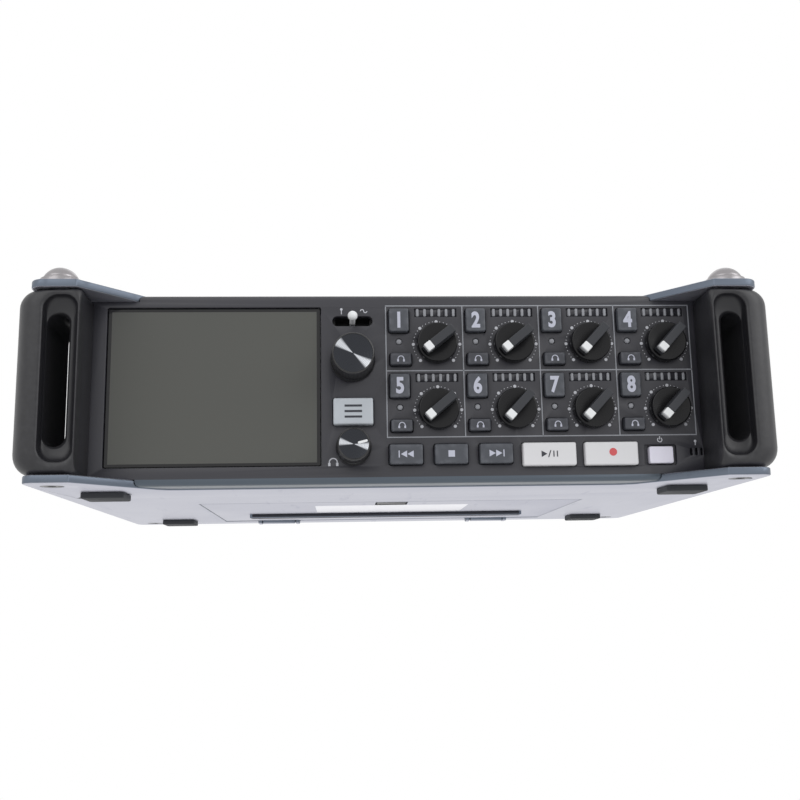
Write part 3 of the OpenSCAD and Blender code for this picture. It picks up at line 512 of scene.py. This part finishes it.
right_rings, edge_mark_rings = handle_rings(*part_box("right_handle"))
ring_piece("right_handle_moulding", right_rings, handle_nylon, "case",
           ["right_handle"], True, edge_mark_rings)
ring_piece("left_handle_moulding", mirrored(right_rings), handle_nylon, "case",
           ["left_handle"], True, edge_mark_rings)


# ---------- display ----------
# A pane of clear acrylic lies a little under the panel's face, over the unlit liquid crystal
# module. Its back is screened black round the module's active area.

window_low, window_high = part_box("display_window")


def screen_glass():
    """Acrylic over an unlit display: grey-green inside the border, black outside it."""
    finish = Finish("display_glass")
    middle = (window_low + window_high) / 2
    half = (window_high - window_low) / 2
    across = (finish.axis("X") - middle.x).math("ABSOLUTE").between(half.x - 1.0 * mm, half.x - 0.9 * mm)
    upward = (finish.axis("Z") - middle.z).math("ABSOLUTE").between(half.z - 0.9 * mm, half.z - 0.8 * mm)
    border = across.math("MAXIMUM", upward)
    depth = finish.noise(60 * mm, 1)
    lit = finish.mix(depth, tone(86, 87, 82), tone(80, 81, 78))
    dust = finish.noise(0.9 * mm, 4).between(0.7, 0.8)
    return finish.sockets(
        Base_Color=finish.mix(border, lit, tone(26, 26, 28)),
        Roughness=dust * 0.25 + 0.08,
        Specular_IOR_Level=0.4)


window_at = ((window_low.x + window_high.x) / 2, (window_low.z + window_high.z) / 2)
window_size = (window_high.x - window_low.x, window_high.z - window_low.z)
pane_edge = [(inset, -drop) for inset, drop in quarter(0.2 * mm)]
pane = [(0, window_low.y - window_high.y)] + pane_edge
ring_piece("display_pane", raised_pad(window_at, window_size, 0.4 * mm, pane, window_low.y),
           screen_glass(), "case", ["display_window"])
finish_node("display_module", metal("module_metal", tone(150, 152, 155), 0.3))


# ---------- status lights and meters ----------
# Each track has a small milky light and a meter of six bars. They are the ends of moulded
# light pipes that run back to the control board, behind a black mask.

milky = moulded("lens", tone(146, 148, 154), 0.35, 0.5 * mm, 0.002 * mm, 0.1)
track_count = 8
bar_count = 6
bar_pitch = 1.79 * mm
meter_above = 8.05 * mm
mask_size = (10.45 * mm, 2.05 * mm)
bar_size = (0.68 * mm, 1.95 * mm)
bar_profile = [(0, -2 * mm), (0, -0.05 * mm), (0.08 * mm, 0.03 * mm), (0.25 * mm, 0.05 * mm)]
button_flange = 0.8 * mm


def cap_of(node):
    """Middle and size of a button's cap in (x, z), from its box less the hidden flange."""
    low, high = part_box(node)
    return (((low.x + high.x) / 2, (low.z + high.z) / 2),
            (high.x - low.x - 2 * button_flange, high.z - low.z - 2 * button_flange))


def joined(parts):
    """Points and faces of several ring stacks as one mesh."""
    points, faces, first = [], [], 0
    for rings in parts:
        count, around = rings.shape[:2]
        points.append(rings.reshape(-1, 3))
        faces += skin_faces(count, around, first=first)
        first += count * around
    return np.concatenate(points), faces


knob_at = {}
lights, masks, bars = [], [], []
for track in range(1, track_count + 1):
    button_at = cap_of(f"track_button_{track}")[0]
    knob_low, knob_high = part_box(f"trim_knob_{track}")
    knob_at[track] = ((knob_low.x + knob_high.x) / 2, (knob_low.z + knob_high.z) / 2)
    light_at = (button_at[0], button_at[1] - 5.2 * mm)
    lights.append(turned(light_at, [(0.68 * mm, -6 * mm), (0.68 * mm, -0.1 * mm), (0.6 * mm, 0.08 * mm),
                                    (0.35 * mm, 0.2 * mm), (0.05 * mm, 0.24 * mm)], panel_y, 20))
    meter_at = (knob_at[track][0] - 0.13 * mm, knob_at[track][1] + meter_above)
    masks.append(raised_pad(meter_at, mask_size, 0.1 * mm, [(0, -3 * mm), (0, -0.25 * mm)], panel_y))
    for bar in range(bar_count):
        bar_at = (meter_at[0] + (bar - (bar_count - 1) / 2) * bar_pitch, meter_at[1])
        bars.append(raised_pad(bar_at, bar_size, 0.3 * mm, bar_profile, panel_y))
lens_mesh = closed_mesh("light_pipes", *joined(lights + bars))
rest_on("light_pipes", lens_mesh, milky, "case", ["light_lenses"])
mask_mesh = closed_mesh("meter_masks", *joined(masks))
rest_on("meter_masks", mask_mesh, panel_paint, "case")


# ---------- push buttons ----------
# Moulded caps with rounded tops stand in tight openings; a flange behind the panel keeps each
# one in. The dark keys are painted, the pale ones are milky and lit from behind.

def cap_rings(node, proud, edge, crown):
    """Rings of a cap: flange, straight side with a slight draft, rounded edge and crowned top."""
    at, size = cap_of(node)
    low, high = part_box(node)
    flange = -(high.y - 0.6 * mm - panel_y)
    profile = [(-button_flange, flange), (-button_flange, flange + 0.8 * mm), (0, flange + 0.8 * mm),
               (0, -0.1 * mm), (0.05 * mm, proud - edge)]
    profile += [(0.05 * mm + inset, proud - drop) for inset, drop in quarter(edge, 5)[1:]]
    half = min(size) / 2
    for share in (0.5, 0.8, 0.97):
        inset = edge + (half - edge) * share
        profile.append((inset, proud + crown * (1 - (1 - share) ** 2)))
    return raised_pad(at, size, 0.5 * mm, profile, panel_y), [0] * 4 + [1] * 5 + [0] * 3


slate_key = moulded("dark_key", tone(70, 73, 80), 0.4, 0.3 * mm, 0.004 * mm, 0.5)
solo_key = moulded("solo_key", tone(60, 62, 69), 0.4, 0.3 * mm, 0.004 * mm, 0.6)
white_key = moulded("pale_key", tone(224, 224, 227), 0.38, 0.5 * mm, 0.002 * mm, 0.05, 0.35)
menu_key = moulded("menu_key", tone(193, 199, 206), 0.4, 0.5 * mm, 0.002 * mm, 0.05, 0.35)
power_key = moulded("lavender_key", tone(238, 236, 250), 0.4, 0.5 * mm, 0.002 * mm, 0.05, 0.35)

key_finishes = {
    "menu_button": (menu_key, "pale_key"), "power_button": (power_key, "lavender_key"),
    "play_button": (white_key, "pale_key"), "record_button": (white_key, "pale_key")}
for node in frame["nodes"]:
    if "_button" not in node:
        continue
    dark = solo_key if node.startswith("solo") else slate_key
    finish, slot_name = key_finishes.get(node, (dark, "solo_key" if dark is solo_key else "dark_key"))
    proud = panel_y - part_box(node)[0].y
    edge = 0.25 * mm if node == "power_button" else 0.4 * mm
    rings, edge_marks = cap_rings(node, proud, edge, -0.06 * mm)
    ring_piece(node + "_cap", rings, finish, node, [node], edge=edge_marks)


# ---------- printed marks ----------
# Pad-printed ink a few hundredths of a millimetre thick: track frames, knob scales, numbers
# and plain signs. Words are left off.

ink_rise = 0.03 * mm
ink_seat = 0.04 * mm


def printed(name, outlines, face_y, body, ink):
    """Ink marks as thin prisms: each closed outline in (x, z) stands from just under the face
    to the ink's own thickness above it."""
    points, faces, first = [], [], 0
    for number, outline in enumerate(outlines):
        outline = np.asarray(outline)
        rise = ink_rise + (number % 3) * 0.004 * mm
        low = np.insert(outline, 1, face_y + 0.05 * mm, axis=1)
        high = np.insert(outline, 1, face_y - rise, axis=1)
        points += [low, high]
        faces += skin_faces(2, len(outline), first=first)
        first += 2 * len(outline)
    mesh = closed_mesh(name, np.concatenate(points), faces)
    mesh.polygons.foreach_set("use_smooth", np.zeros(len(mesh.polygons), bool))
    return rest_on(name, mesh, ink, body)


def bar_mark(x0, x1, z0, z1):
    return [(x0, z0), (x1, z0), (x1, z1), (x0, z1)]


def dot_mark(at, radius, points=10):
    angle = np.linspace(0, 2 * np.pi, points, endpoint=False)
    return np.stack([at[0] + radius * np.cos(angle), at[1] + radius * np.sin(angle)], -1)


def arc_mark(at, radius, width, start, stop, points=14):
    """A bent stroke: out along the arc's outer side and back along its inner side."""
    angle = np.radians(np.linspace(start, stop, points))
    outer = (radius + width / 2) * np.stack([np.cos(angle), np.sin(angle)], -1)
    inner = (radius - width / 2) * np.stack([np.cos(angle), np.sin(angle)], -1)
    return np.concatenate([outer, inner[::-1]]) + np.array(at)


def ink_of(name, colour):
    """Matt ink with a slightly uneven coat."""
    finish = Finish(name)
    coat = finish.noise(0.4 * mm, 2)
    return finish.sockets(
        Base_Color=finish.mix(coat * 0.4, colour, [c * 0.75 for c in colour[:3]] + [1]),
        Roughness=coat * 0.2 + 0.45)


white_ink = ink_of("white_ink", tone(205, 207, 214))
frame_ink = ink_of("frame_ink", tone(158, 161, 168))
dark_ink = ink_of("dark_ink", tone(52, 54, 62))
red_ink = ink_of("red_ink", tone(214, 92, 96))
lilac_ink = ink_of("lilac_ink", tone(196, 199, 214))

columns = 4
pitch_x = knob_at[2][0] - knob_at[1][0]
pitch_z = knob_at[1][1] - knob_at[5][1]
grid_left = knob_at[1][0] - 12.48 * mm
grid_top = knob_at[1][1] + 9.8 * mm
line = 0.13 * mm
frames = []
for row in range(3):
    z = grid_top - row * pitch_z
    frames.append(bar_mark(grid_left - line, grid_left + columns * pitch_x + line, z - line, z + line))
for column in range(columns + 1):
    x = grid_left + column * pitch_x
    frames.append(bar_mark(x - line, x + line, grid_top - 2 * pitch_z, grid_top))
printed("track_frames", frames, panel_y, "case", frame_ink)

scale_radius = 5.75 * mm
scale_start = -135
scale_step = 9
steps_a_dot = 5
scale = []
for track in knob_at:
    for step in range(31):
        turn = math.radians(scale_start + step * scale_step)
        at = (knob_at[track][0] + scale_radius * math.sin(turn),
              knob_at[track][1] + scale_radius * math.cos(turn))
        radius, points = (0.12, 6) if step % steps_a_dot else (0.4, 10)
        scale.append(dot_mark(at, radius * mm, points))
printed("knob_scales", scale, panel_y, "case", white_ink)


def headphone_mark(at, size):
    """A headband arc over two ear pads."""
    pad = size * 0.3
    marks = [arc_mark(at, size, size * 0.28, -10, 190)]
    for side in (-1, 1):
        x = at[0] + side * size
        marks.append(bar_mark(x - pad, x + pad, at[1] - size * 0.95, at[1] - size * 0.15))
    return marks


phones_low, phones_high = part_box("headphone_knob")
phones_at = ((phones_low.x + phones_high.x) / 2, (phones_low.z + phones_high.z) / 2)
slate_low, slate_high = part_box("slate_switch")
slate_at = ((slate_low.x + slate_high.x) / 2, (slate_low.z + slate_high.z) / 2)
power_at = cap_of("power_button")[0]
signs = headphone_mark((phones_at[0] - 4.9 * mm, phones_at[1] - 3.4 * mm), 0.95 * mm)
mark_z = slate_at[1] + 2.55 * mm
signs += [dot_mark((slate_at[0] - 2.7 * mm, mark_z + 0.45 * mm), 0.32 * mm),
          bar_mark(slate_at[0] - 2.8 * mm, slate_at[0] - 2.6 * mm, mark_z - 0.8 * mm, mark_z + 0.4 * mm)]
for side in (0, 1):
    signs.append(arc_mark((slate_at[0] + (2.4 + side * 0.8) * mm, mark_z), 0.4 * mm, 0.2 * mm,
                          180 * side, 180 * side + 180))
signs += [arc_mark((power_at[0] - 0.2 * mm, power_at[1] + 3.7 * mm), 0.55 * mm, 0.2 * mm, 125, 415),
          bar_mark(power_at[0] - 0.3 * mm, power_at[0] - 0.1 * mm,
                   power_at[1] + 3.8 * mm, power_at[1] + 4.6 * mm)]
mic_x = power_at[0] + 8.6 * mm
signs += [dot_mark((mic_x, power_at[1] + 3.3 * mm), 0.34 * mm),
          bar_mark(mic_x - 0.1 * mm, mic_x + 0.1 * mm, power_at[1] + 2.3 * mm, power_at[1] + 3.2 * mm)]
printed("panel_signs", signs, panel_y, "case", white_ink)


def lettered(name, words, height, at, face_y, body, ink, narrow=0.78, weight=0.055):
    """Numbers in the plain built-in face, thickened, squeezed narrow and laid on a cap."""
    letters = bpy.data.curves.new(name, "FONT")
    letters.body = words
    letters.size = height / 0.73
    letters.offset = height * weight
    letters.extrude = 0.03 * mm
    letters.align_x = "CENTER"
    letters.resolution_u = 4
    shape = bpy.data.objects.new(name, letters)
    mesh = bpy.data.meshes.new_from_object(shape)
    bpy.data.objects.remove(shape)
    flat = np.zeros(len(mesh.vertices) * 3)
    mesh.vertices.foreach_get("co", flat)
    flat = flat.reshape(-1, 3)
    middle = (flat.min(0) + flat.max(0)) / 2
    placed = np.stack([at[0] + (flat[:, 0] - middle[0]) * narrow, face_y - (flat[:, 2] - middle[2]),
                       at[1] + flat[:, 1] - middle[1]], -1)
    mesh.vertices.foreach_set("co", placed.ravel())
    return rest_on(name, mesh, ink, body)


for track in knob_at:
    node = f"track_button_{track}"
    at = cap_of(node)[0]
    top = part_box(node)[0].y
    lettered(f"track_number_{track}", str(track), 3.9 * mm, at, top + ink_seat, node, lilac_ink)
    solo = f"solo_button_{track}"
    solo_at = cap_of(solo)[0]
    printed(f"listen_sign_{track}", headphone_mark((solo_at[0], solo_at[1] - 0.05 * mm), 0.72 * mm),
            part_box(solo)[0].y + ink_seat, solo, lilac_ink)


def pointing(at, size, way):
    """A triangle that points along x, with its back edge square."""
    x = at[0] - way * size / 2
    return [(x, at[1] - size * 0.55), (x + way * size, at[1]), (x, at[1] + size * 0.55)]


def key_marks(node):
    """The plain transport sign of a key, as outlines."""
    x, z = cap_of(node)[0]
    way = -1 if node == "rewind_button" else 1
    bar = 0.13 * mm
    if node in ("rewind_button", "forward_button"):
        stop_x = x + way * 1.75 * mm
        return [pointing((x - way * 1.0 * mm, z), 1.5 * mm, way),
                pointing((x + way * 0.6 * mm, z), 1.5 * mm, way),
                bar_mark(stop_x - bar, stop_x + bar, z - 0.85 * mm, z + 0.85 * mm)]
    if node == "stop_button":
        return [bar_mark(x - 0.78 * mm, x + 0.78 * mm, z - 0.78 * mm, z + 0.78 * mm)]
    if node == "menu_button":
        pitch = 1.35 * mm
        half = 0.26 * mm
        return [bar_mark(x - 2.1 * mm, x + 2.1 * mm, z + row * pitch - half, z + row * pitch + half)
                for row in (-1, 0, 1)]
    slash = [(x - 0.5 * mm, z - 0.85 * mm), (x - 0.25 * mm, z - 0.85 * mm), (x + 0.35 * mm, z + 0.85 * mm),
             (x + 0.1 * mm, z + 0.85 * mm)]
    pause = [bar_mark(x + (0.95 + side * 0.85) * mm - bar, x + (0.95 + side * 0.85) * mm + bar,
                      z - 0.72 * mm, z + 0.72 * mm) for side in (0, 1)]
    return [pointing((x - 1.35 * mm, z), 1.4 * mm, 1), slash, *pause]


for node, ink in (("rewind_button", lilac_ink), ("stop_button", lilac_ink), ("forward_button", lilac_ink),
                  ("play_button", dark_ink), ("menu_button", dark_ink)):
    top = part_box(node)[0].y + ink_seat
    printed(node.replace("button", "sign"), key_marks(node), top, node, ink)
record_at = cap_of("record_button")[0]
printed("record_sign", [dot_mark((record_at[0] + 0.3 * mm, record_at[1] + 0.3 * mm), 0.95 * mm, 24)],
        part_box("record_button")[0].y + ink_seat, "record_button", red_ink)


# ---------- trim knobs ----------
# A black skirt moulded with a raised bar across it; a white square is pressed into one end of
# the bar. Each knob is pushed on a spindle that turns in its potentiometer.

knob_plastic = moulded("knob_black", tone(15, 15, 18), 0.26, 0.4 * mm, 0.003 * mm, 0.2, 0.3)
bar_plastic = moulded("pointer_grey", tone(50, 52, 57), 0.42, 0.2 * mm, 0.02 * mm, 0.5, 0.4)
tip_plastic = moulded("white_tip", tone(238, 240, 242), 0.35, 0.4 * mm, 0.002 * mm, 0.0, 0.3)
turn_range = {joint["name"]: joint.get("range_deg") for joint in frame["joints"]}
pointer_rest = 47


def pointer_block(at, turn, start, stop, width, base, top, edge):
    """Rings of a bar on the knob, from start to stop along the pointer: a drafted block with
    rounded top edges, turned about the knob's axis."""
    profile = [(-0.12 * mm, base), (0, top - edge)]
    profile += [(inset, top - drop) for inset, drop in quarter(edge)[1:]]
    rings = raised_pad(((start + stop) / 2, 0), (stop - start, width), 0.22 * mm, profile, panel_y)
    cos, sin = math.cos(turn), math.sin(turn)
    x, z = rings[..., 0], rings[..., 2]
    return np.stack([at[0] + x * cos - z * sin, rings[..., 1], at[1] + x * sin + z * cos], -1)


for track, at in knob_at.items():
    node = f"trim_knob_{track}"
    low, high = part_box(node)
    radius = (high.x - low.x) / 2
    top = panel_y - low.y
    turn = math.radians(pointer_rest + turn_range[node + "_turn"][0])
    skirt_top = 2.95 * mm
    spindle_end = panel_y - high.y
    profile = [(0.05 * mm, spindle_end), (1.4 * mm, spindle_end), (1.5 * mm, spindle_end + 0.1 * mm),
               (1.5 * mm, 0.4 * mm), (radius - 0.1 * mm, 0.4 * mm), (radius, 0.5 * mm), (radius, 1.5 * mm),
               (radius - 0.02 * mm, 2.0 * mm), (radius - 0.15 * mm, skirt_top - 0.2 * mm),
               (radius - 0.3 * mm, skirt_top - 0.03 * mm), (radius - 0.55 * mm, skirt_top),
               (radius * 0.5, skirt_top - 0.35 * mm), (0.05 * mm, skirt_top - 0.5 * mm)]
    skirt = turned(at, profile, panel_y, 72)
    ring_piece(f"trim_skirt_{track}", skirt, knob_plastic, node, [node])
    block = pointer_block(at, turn, -2.0 * mm, 4.6 * mm, 2.1 * mm, 2.2 * mm, top, 0.2 * mm)
    ring_piece(f"trim_bar_{track}", block, bar_plastic, node)
    tip = pointer_block(at, turn, -3.85 * mm, -2.02 * mm, 2.1 * mm, 4.6 * mm, top + 0.02 * mm, 0.2 * mm)
    ring_piece(f"trim_tip_{track}", tip, tip_plastic, node)
    heel = pointer_block(at, turn, -3.95 * mm, -1.9 * mm, 2.16 * mm, 2.2 * mm, 4.7 * mm, 0.1 * mm)
    ring_piece(f"trim_heel_{track}", heel, bar_plastic, node)


# ---------- select dial and headphone knob ----------
# Both are turned from aluminium and anodised black. Fine flutes run round the side, and the
# face is spun with fine rings; two bright fans on it are a painted highlight in its colour.

dial_side = moulded("dial_side", tone(26, 26, 28), 0.3, 0.2 * mm, 0.003 * mm, 0.5, 0.6)


def spun(name, at, lean):
    """Spun aluminium anodised black: fine rings cross it, and two bright fans of painted highlight lie
    opposite each other.
    The square of the cosine of the angle from the highlight's middle is 1 there and 0 at right angles."""
    finish = Finish(name)
    x = finish.axis("X") - at[0]
    z = finish.axis("Z") - at[1]
    squared = x * x + z * z + 1e-9
    along = x * math.cos(lean) + z * math.sin(lean)
    share = along * along / squared
    painted_fan_highlight = share.between(0.9, 0.995)
    distance = squared.math("SQRT")
    rings = (distance * (2 * math.pi / (0.34 * mm))).math("SINE") * 0.5 + 0.5
    cloud = finish.noise(0.3 * mm, 2)
    # Painted highlight: the bright fans are mixed into the base colour.
    shade = finish.mix(painted_fan_highlight, tone(54, 56, 61), tone(222, 225, 231))
    finish.relief(rings, 0.01 * mm)
    return finish.sockets(
        Base_Color=finish.mix(rings * 0.25 + cloud * 0.1, shade, tone(34, 35, 39)),
        Roughness=cloud * 0.1 + 0.22,
        Metallic=0.85)



def spun_rings(at, radius, top, dish, pitch):
    """Rings of a spun face: a shallow dish crossed by a small saw-tooth wave in the radius."""
    tooth = 0.022 * mm
    count = int(radius / pitch) * 2
    radii = np.linspace(radius, 0.3 * mm, count)
    wave = np.where(np.arange(count) % 2 == 0, 0, -tooth)
    rises = top - dish * (1 - (radii / radius) ** 2) + wave
    profile = [(radius, top - 1 * mm)] + np.stack([radii, rises], -1).tolist()
    return turned(at, profile + [(0.03 * mm, rises[-1])], panel_y, 96)


def dial(node, at, flutes, highlight_fan_turn):
    """Body and spun face of a turned knob; the body's rim stands a little past the face."""
    face_share = 0.93
    low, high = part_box(node)
    radius = (high.x - low.x) / 2 - 0.37 * mm
    top = panel_y - low.y
    foot = 0.45 * mm if node == "headphone_knob" else 0.9 * mm
    shaft = min(panel_y - high.y, foot)
    profile = [(0.05 * mm, shaft), (1.5 * mm, shaft), (1.5 * mm, foot), (radius + 0.3 * mm, foot),
               (radius + 0.35 * mm, foot + 0.1 * mm), (radius + 0.35 * mm, foot + 0.9 * mm),
               (radius + 0.05 * mm, foot + 1.3 * mm), (radius, foot + 1.5 * mm), (radius, top - 0.7 * mm)]
    profile += [(radius - inset, top - drop) for inset, drop in quarter(0.45 * mm, 5)]
    profile += [(radius * face_share + 0.05 * mm, top), (radius * face_share, top - 0.1 * mm),
                (radius * face_share - 0.02 * mm, top - 0.6 * mm), (0.05 * mm, top - 0.6 * mm)]
    side = turned(at, profile, panel_y, 144, flutes, 0.09 * mm, (foot + 1.4 * mm, top - 0.6 * mm))
    ring_piece(node + "_body", side, dial_side, node, [node])
    face = spun_rings(at, radius * face_share - 0.04 * mm, top - 0.02 * mm, 0.35 * mm, 0.17 * mm)
    face_finish = spun(node + "_spun_painted_fans", at, math.radians(highlight_fan_turn))
    ring_piece(node + "_face", face, face_finish, node)


dial_low, dial_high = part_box("select_knob")
dial_at = ((dial_low.x + dial_high.x) / 2, (dial_low.z + dial_high.z) / 2)
dial("select_knob", dial_at, 36, 143)
dial("headphone_knob", phones_at, 30, 170)
finish_node("select_shaft", metal("shaft_steel", tone(168, 168, 172), 0.25))

phones_top = panel_y - phones_low.y
line_turn = math.radians(14)
line_block = pointer_block(phones_at, line_turn, 1.0 * mm, 3.3 * mm, 0.55 * mm, phones_top - 0.5 * mm,
                           phones_top + 0.02 * mm, 0.05 * mm)
ring_piece("headphone_line", line_block, tip_plastic, "headphone_knob")


# ---------- slate switch ----------
# A white moulded lever with a ball end leans in its slot and springs back to the middle.
# It turns on a pin in the switch housing behind the panel.

ball = 1.2 * mm
reach = panel_y - slate_low.y - ball
bend = np.linspace(math.radians(-62), math.radians(88), 12)
lever = [(0.05 * mm, -5.6 * mm), (0.7 * mm, -5.6 * mm), (0.72 * mm, -1 * mm), (0.56 * mm, reach - 1.2 * mm)]
lever += [(ball * math.cos(a), reach + ball * math.sin(a)) for a in bend]
ring_piece("slate_lever", turned(slate_at, lever, panel_y, 32), tip_plastic, "slate_switch",
           ["slate_switch"])


# ---------- sockets ----------
# Combination inputs with glass-filled flanges run along both walls. The smaller sockets are
# nickel-plated barrels, and the pod socket is a die-cast shell.

socket_black = moulded("jack_black", tone(30, 30, 32), 0.45, 0.3 * mm, 0.01 * mm, 0.4)
nickel = metal("socket_metal", tone(170, 168, 164), 0.28)
eased("input_jacks", 0.18 * mm, socket_black)
eased("small_sockets", 0.08 * mm, nickel)


# ---------- underside ----------
# The battery door is anodised sheet like the plates, with a moulded grip rib and a sliding
# latch. A plain blank plate lies on its middle.

eased("battery_door", 0.12 * mm, plate_finish, "battery_door")
eased("door_latch", 0.08 * mm, handle_nylon, "door_latch")
door_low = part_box("battery_door")[0]
door_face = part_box("rubber_feet")[1].z
grip_y = door_low.y + 38.5 * mm


def under_pad(name, centre, size, corner, profile, finish, body):
    """A rounded pad that hangs under a face: the panel's pad laid flat and turned to look down."""
    pad = raised_pad((centre[0], centre[1]), size, corner, profile, 0)
    rings = np.stack([pad[..., 0], pad[..., 2], centre[2] + pad[..., 1]], -1)
    return ring_piece(name, rings, finish, body)


blank_plate = metal("blank_plate", tone(246, 246, 252), 0.3, 0.1 * mm, (0.05, 1, 1))
under_pad("door_blank_plate", (0.4 * mm, door_low.y + 22 * mm, door_face), (45 * mm, 24 * mm), 1 * mm,
          [(0, -0.05 * mm), (0, 0.05 * mm), (0.06 * mm, 0.1 * mm)], blank_plate,
          "battery_door")
under_pad("door_grip", (0, grip_y + 2 * mm, door_face), (87.2 * mm, 4.2 * mm), 1.2 * mm,
          [(0, -0.05 * mm), (0.05 * mm, 0.9 * mm), (0.35 * mm, 1.2 * mm), (0.8 * mm, 1.25 * mm)],
          moulded("grip_rubber", tone(54, 55, 62), 0.7, 0.4 * mm, 0.02 * mm), "battery_door")


# ---------- inside ----------
# Boards, controls and cells show only when a door is open or through a gap, but each has its
# own finish: solder mask, black thermoplastic, plated steel and shrink-wrapped cells.

def solder_mask():
    """Green solder mask over copper: tracks show as a slightly paler weave."""
    finish = Finish("board")
    tracks = finish.node("ShaderNodeTexBrick", {}, {
        "Vector": finish.place, "Scale": 900.0, "Mortar Size": 0.03, "Color1": tone(20, 78, 48),
        "Color2": tone(24, 88, 54), "Mortar": tone(40, 112, 74)})
    return finish.sockets(Base_Color=tracks, Roughness=finish.noise(4 * mm) * 0.15 + 0.25)


def cell_wrap():
    """Shrink-wrapped cells: a dark band near the stud, a warm metal colour on the rest."""
    finish = Finish("cell_wrap")
    along = finish.axis("X").math("ABSOLUTE")
    band = along.between(33 * mm, 33.2 * mm)
    stud = along.between(48.6 * mm, 48.7 * mm)
    wrap = finish.mix(band, tone(44, 46, 52), tone(196, 148, 84))
    return finish.sockets(Base_Color=finish.mix(stud, wrap, tone(190, 190, 194)),
                          Roughness=finish.noise(3 * mm) * 0.1 + 0.28, Metallic=0.6)


bay_plastic = moulded("bay_black", tone(34, 34, 37), 0.5, 0.3 * mm, 0.01 * mm)
finish_node("circuit_boards", solder_mask())
finish_node("potentiometers", metal("pot_metal", tone(120, 122, 126), 0.35))
finish_node("key_switches", moulded("switch_black", tone(28, 28, 30), 0.4))
eased("battery_bay", 0.2 * mm, bay_plastic)
eased("battery_case", 0.2 * mm, bay_plastic)
eased("batteries", 0.3 * mm, cell_wrap())
eased("card_door", 0.2 * mm, handle_nylon, "card_door")


# ---------- floor ----------
# A pale sheet under the feet. It shows from above and takes the object's shadow, and from
# below it is clear, so that the camera sees the underside against the white room. It fades
# out into that room, so it has no edge or horizon.

floor_half = 3.0
floor_mesh = bpy.data.meshes.new("floor")
corners = np.array([(-1, -1, 0), (1, -1, 0), (1, 1, 0), (-1, 1, 0)]) * floor_half
floor_mesh.from_pydata(corners.tolist(), [], [(0, 1, 2, 3)])
floor = bpy.data.objects.new("floor", floor_mesh)
scene.collection.objects.link(floor)
paper = Finish("floor_paper")
fibres = paper.noise(2 * mm, 3)
paper.sockets(Base_Color=paper.mix(fibres * 0.2, tone(250, 250, 250), tone(242, 242, 243)), Roughness=0.8)
behind = paper.node("ShaderNodeNewGeometry", output="Backfacing")
across = paper.axis("X")
along = paper.axis("Y")
far = (across * across + along * along).math("SQRT").between(0.3, 0.9)
clear = paper.node("ShaderNodeBsdfTransparent")
covered = Value(paper, paper.shader.outputs[0])
shown = paper.node("ShaderNodeMixShader", {}, [behind.math("MAXIMUM", far), covered, clear])
paper.feed(paper.tree.nodes["Material Output"].inputs["Surface"], shown)
floor_mesh.materials.append(paper.material)
floor.visible_diffuse = False
floor.visible_glossy = False
floor.visible_transmission = False
floor.visible_shadow = False
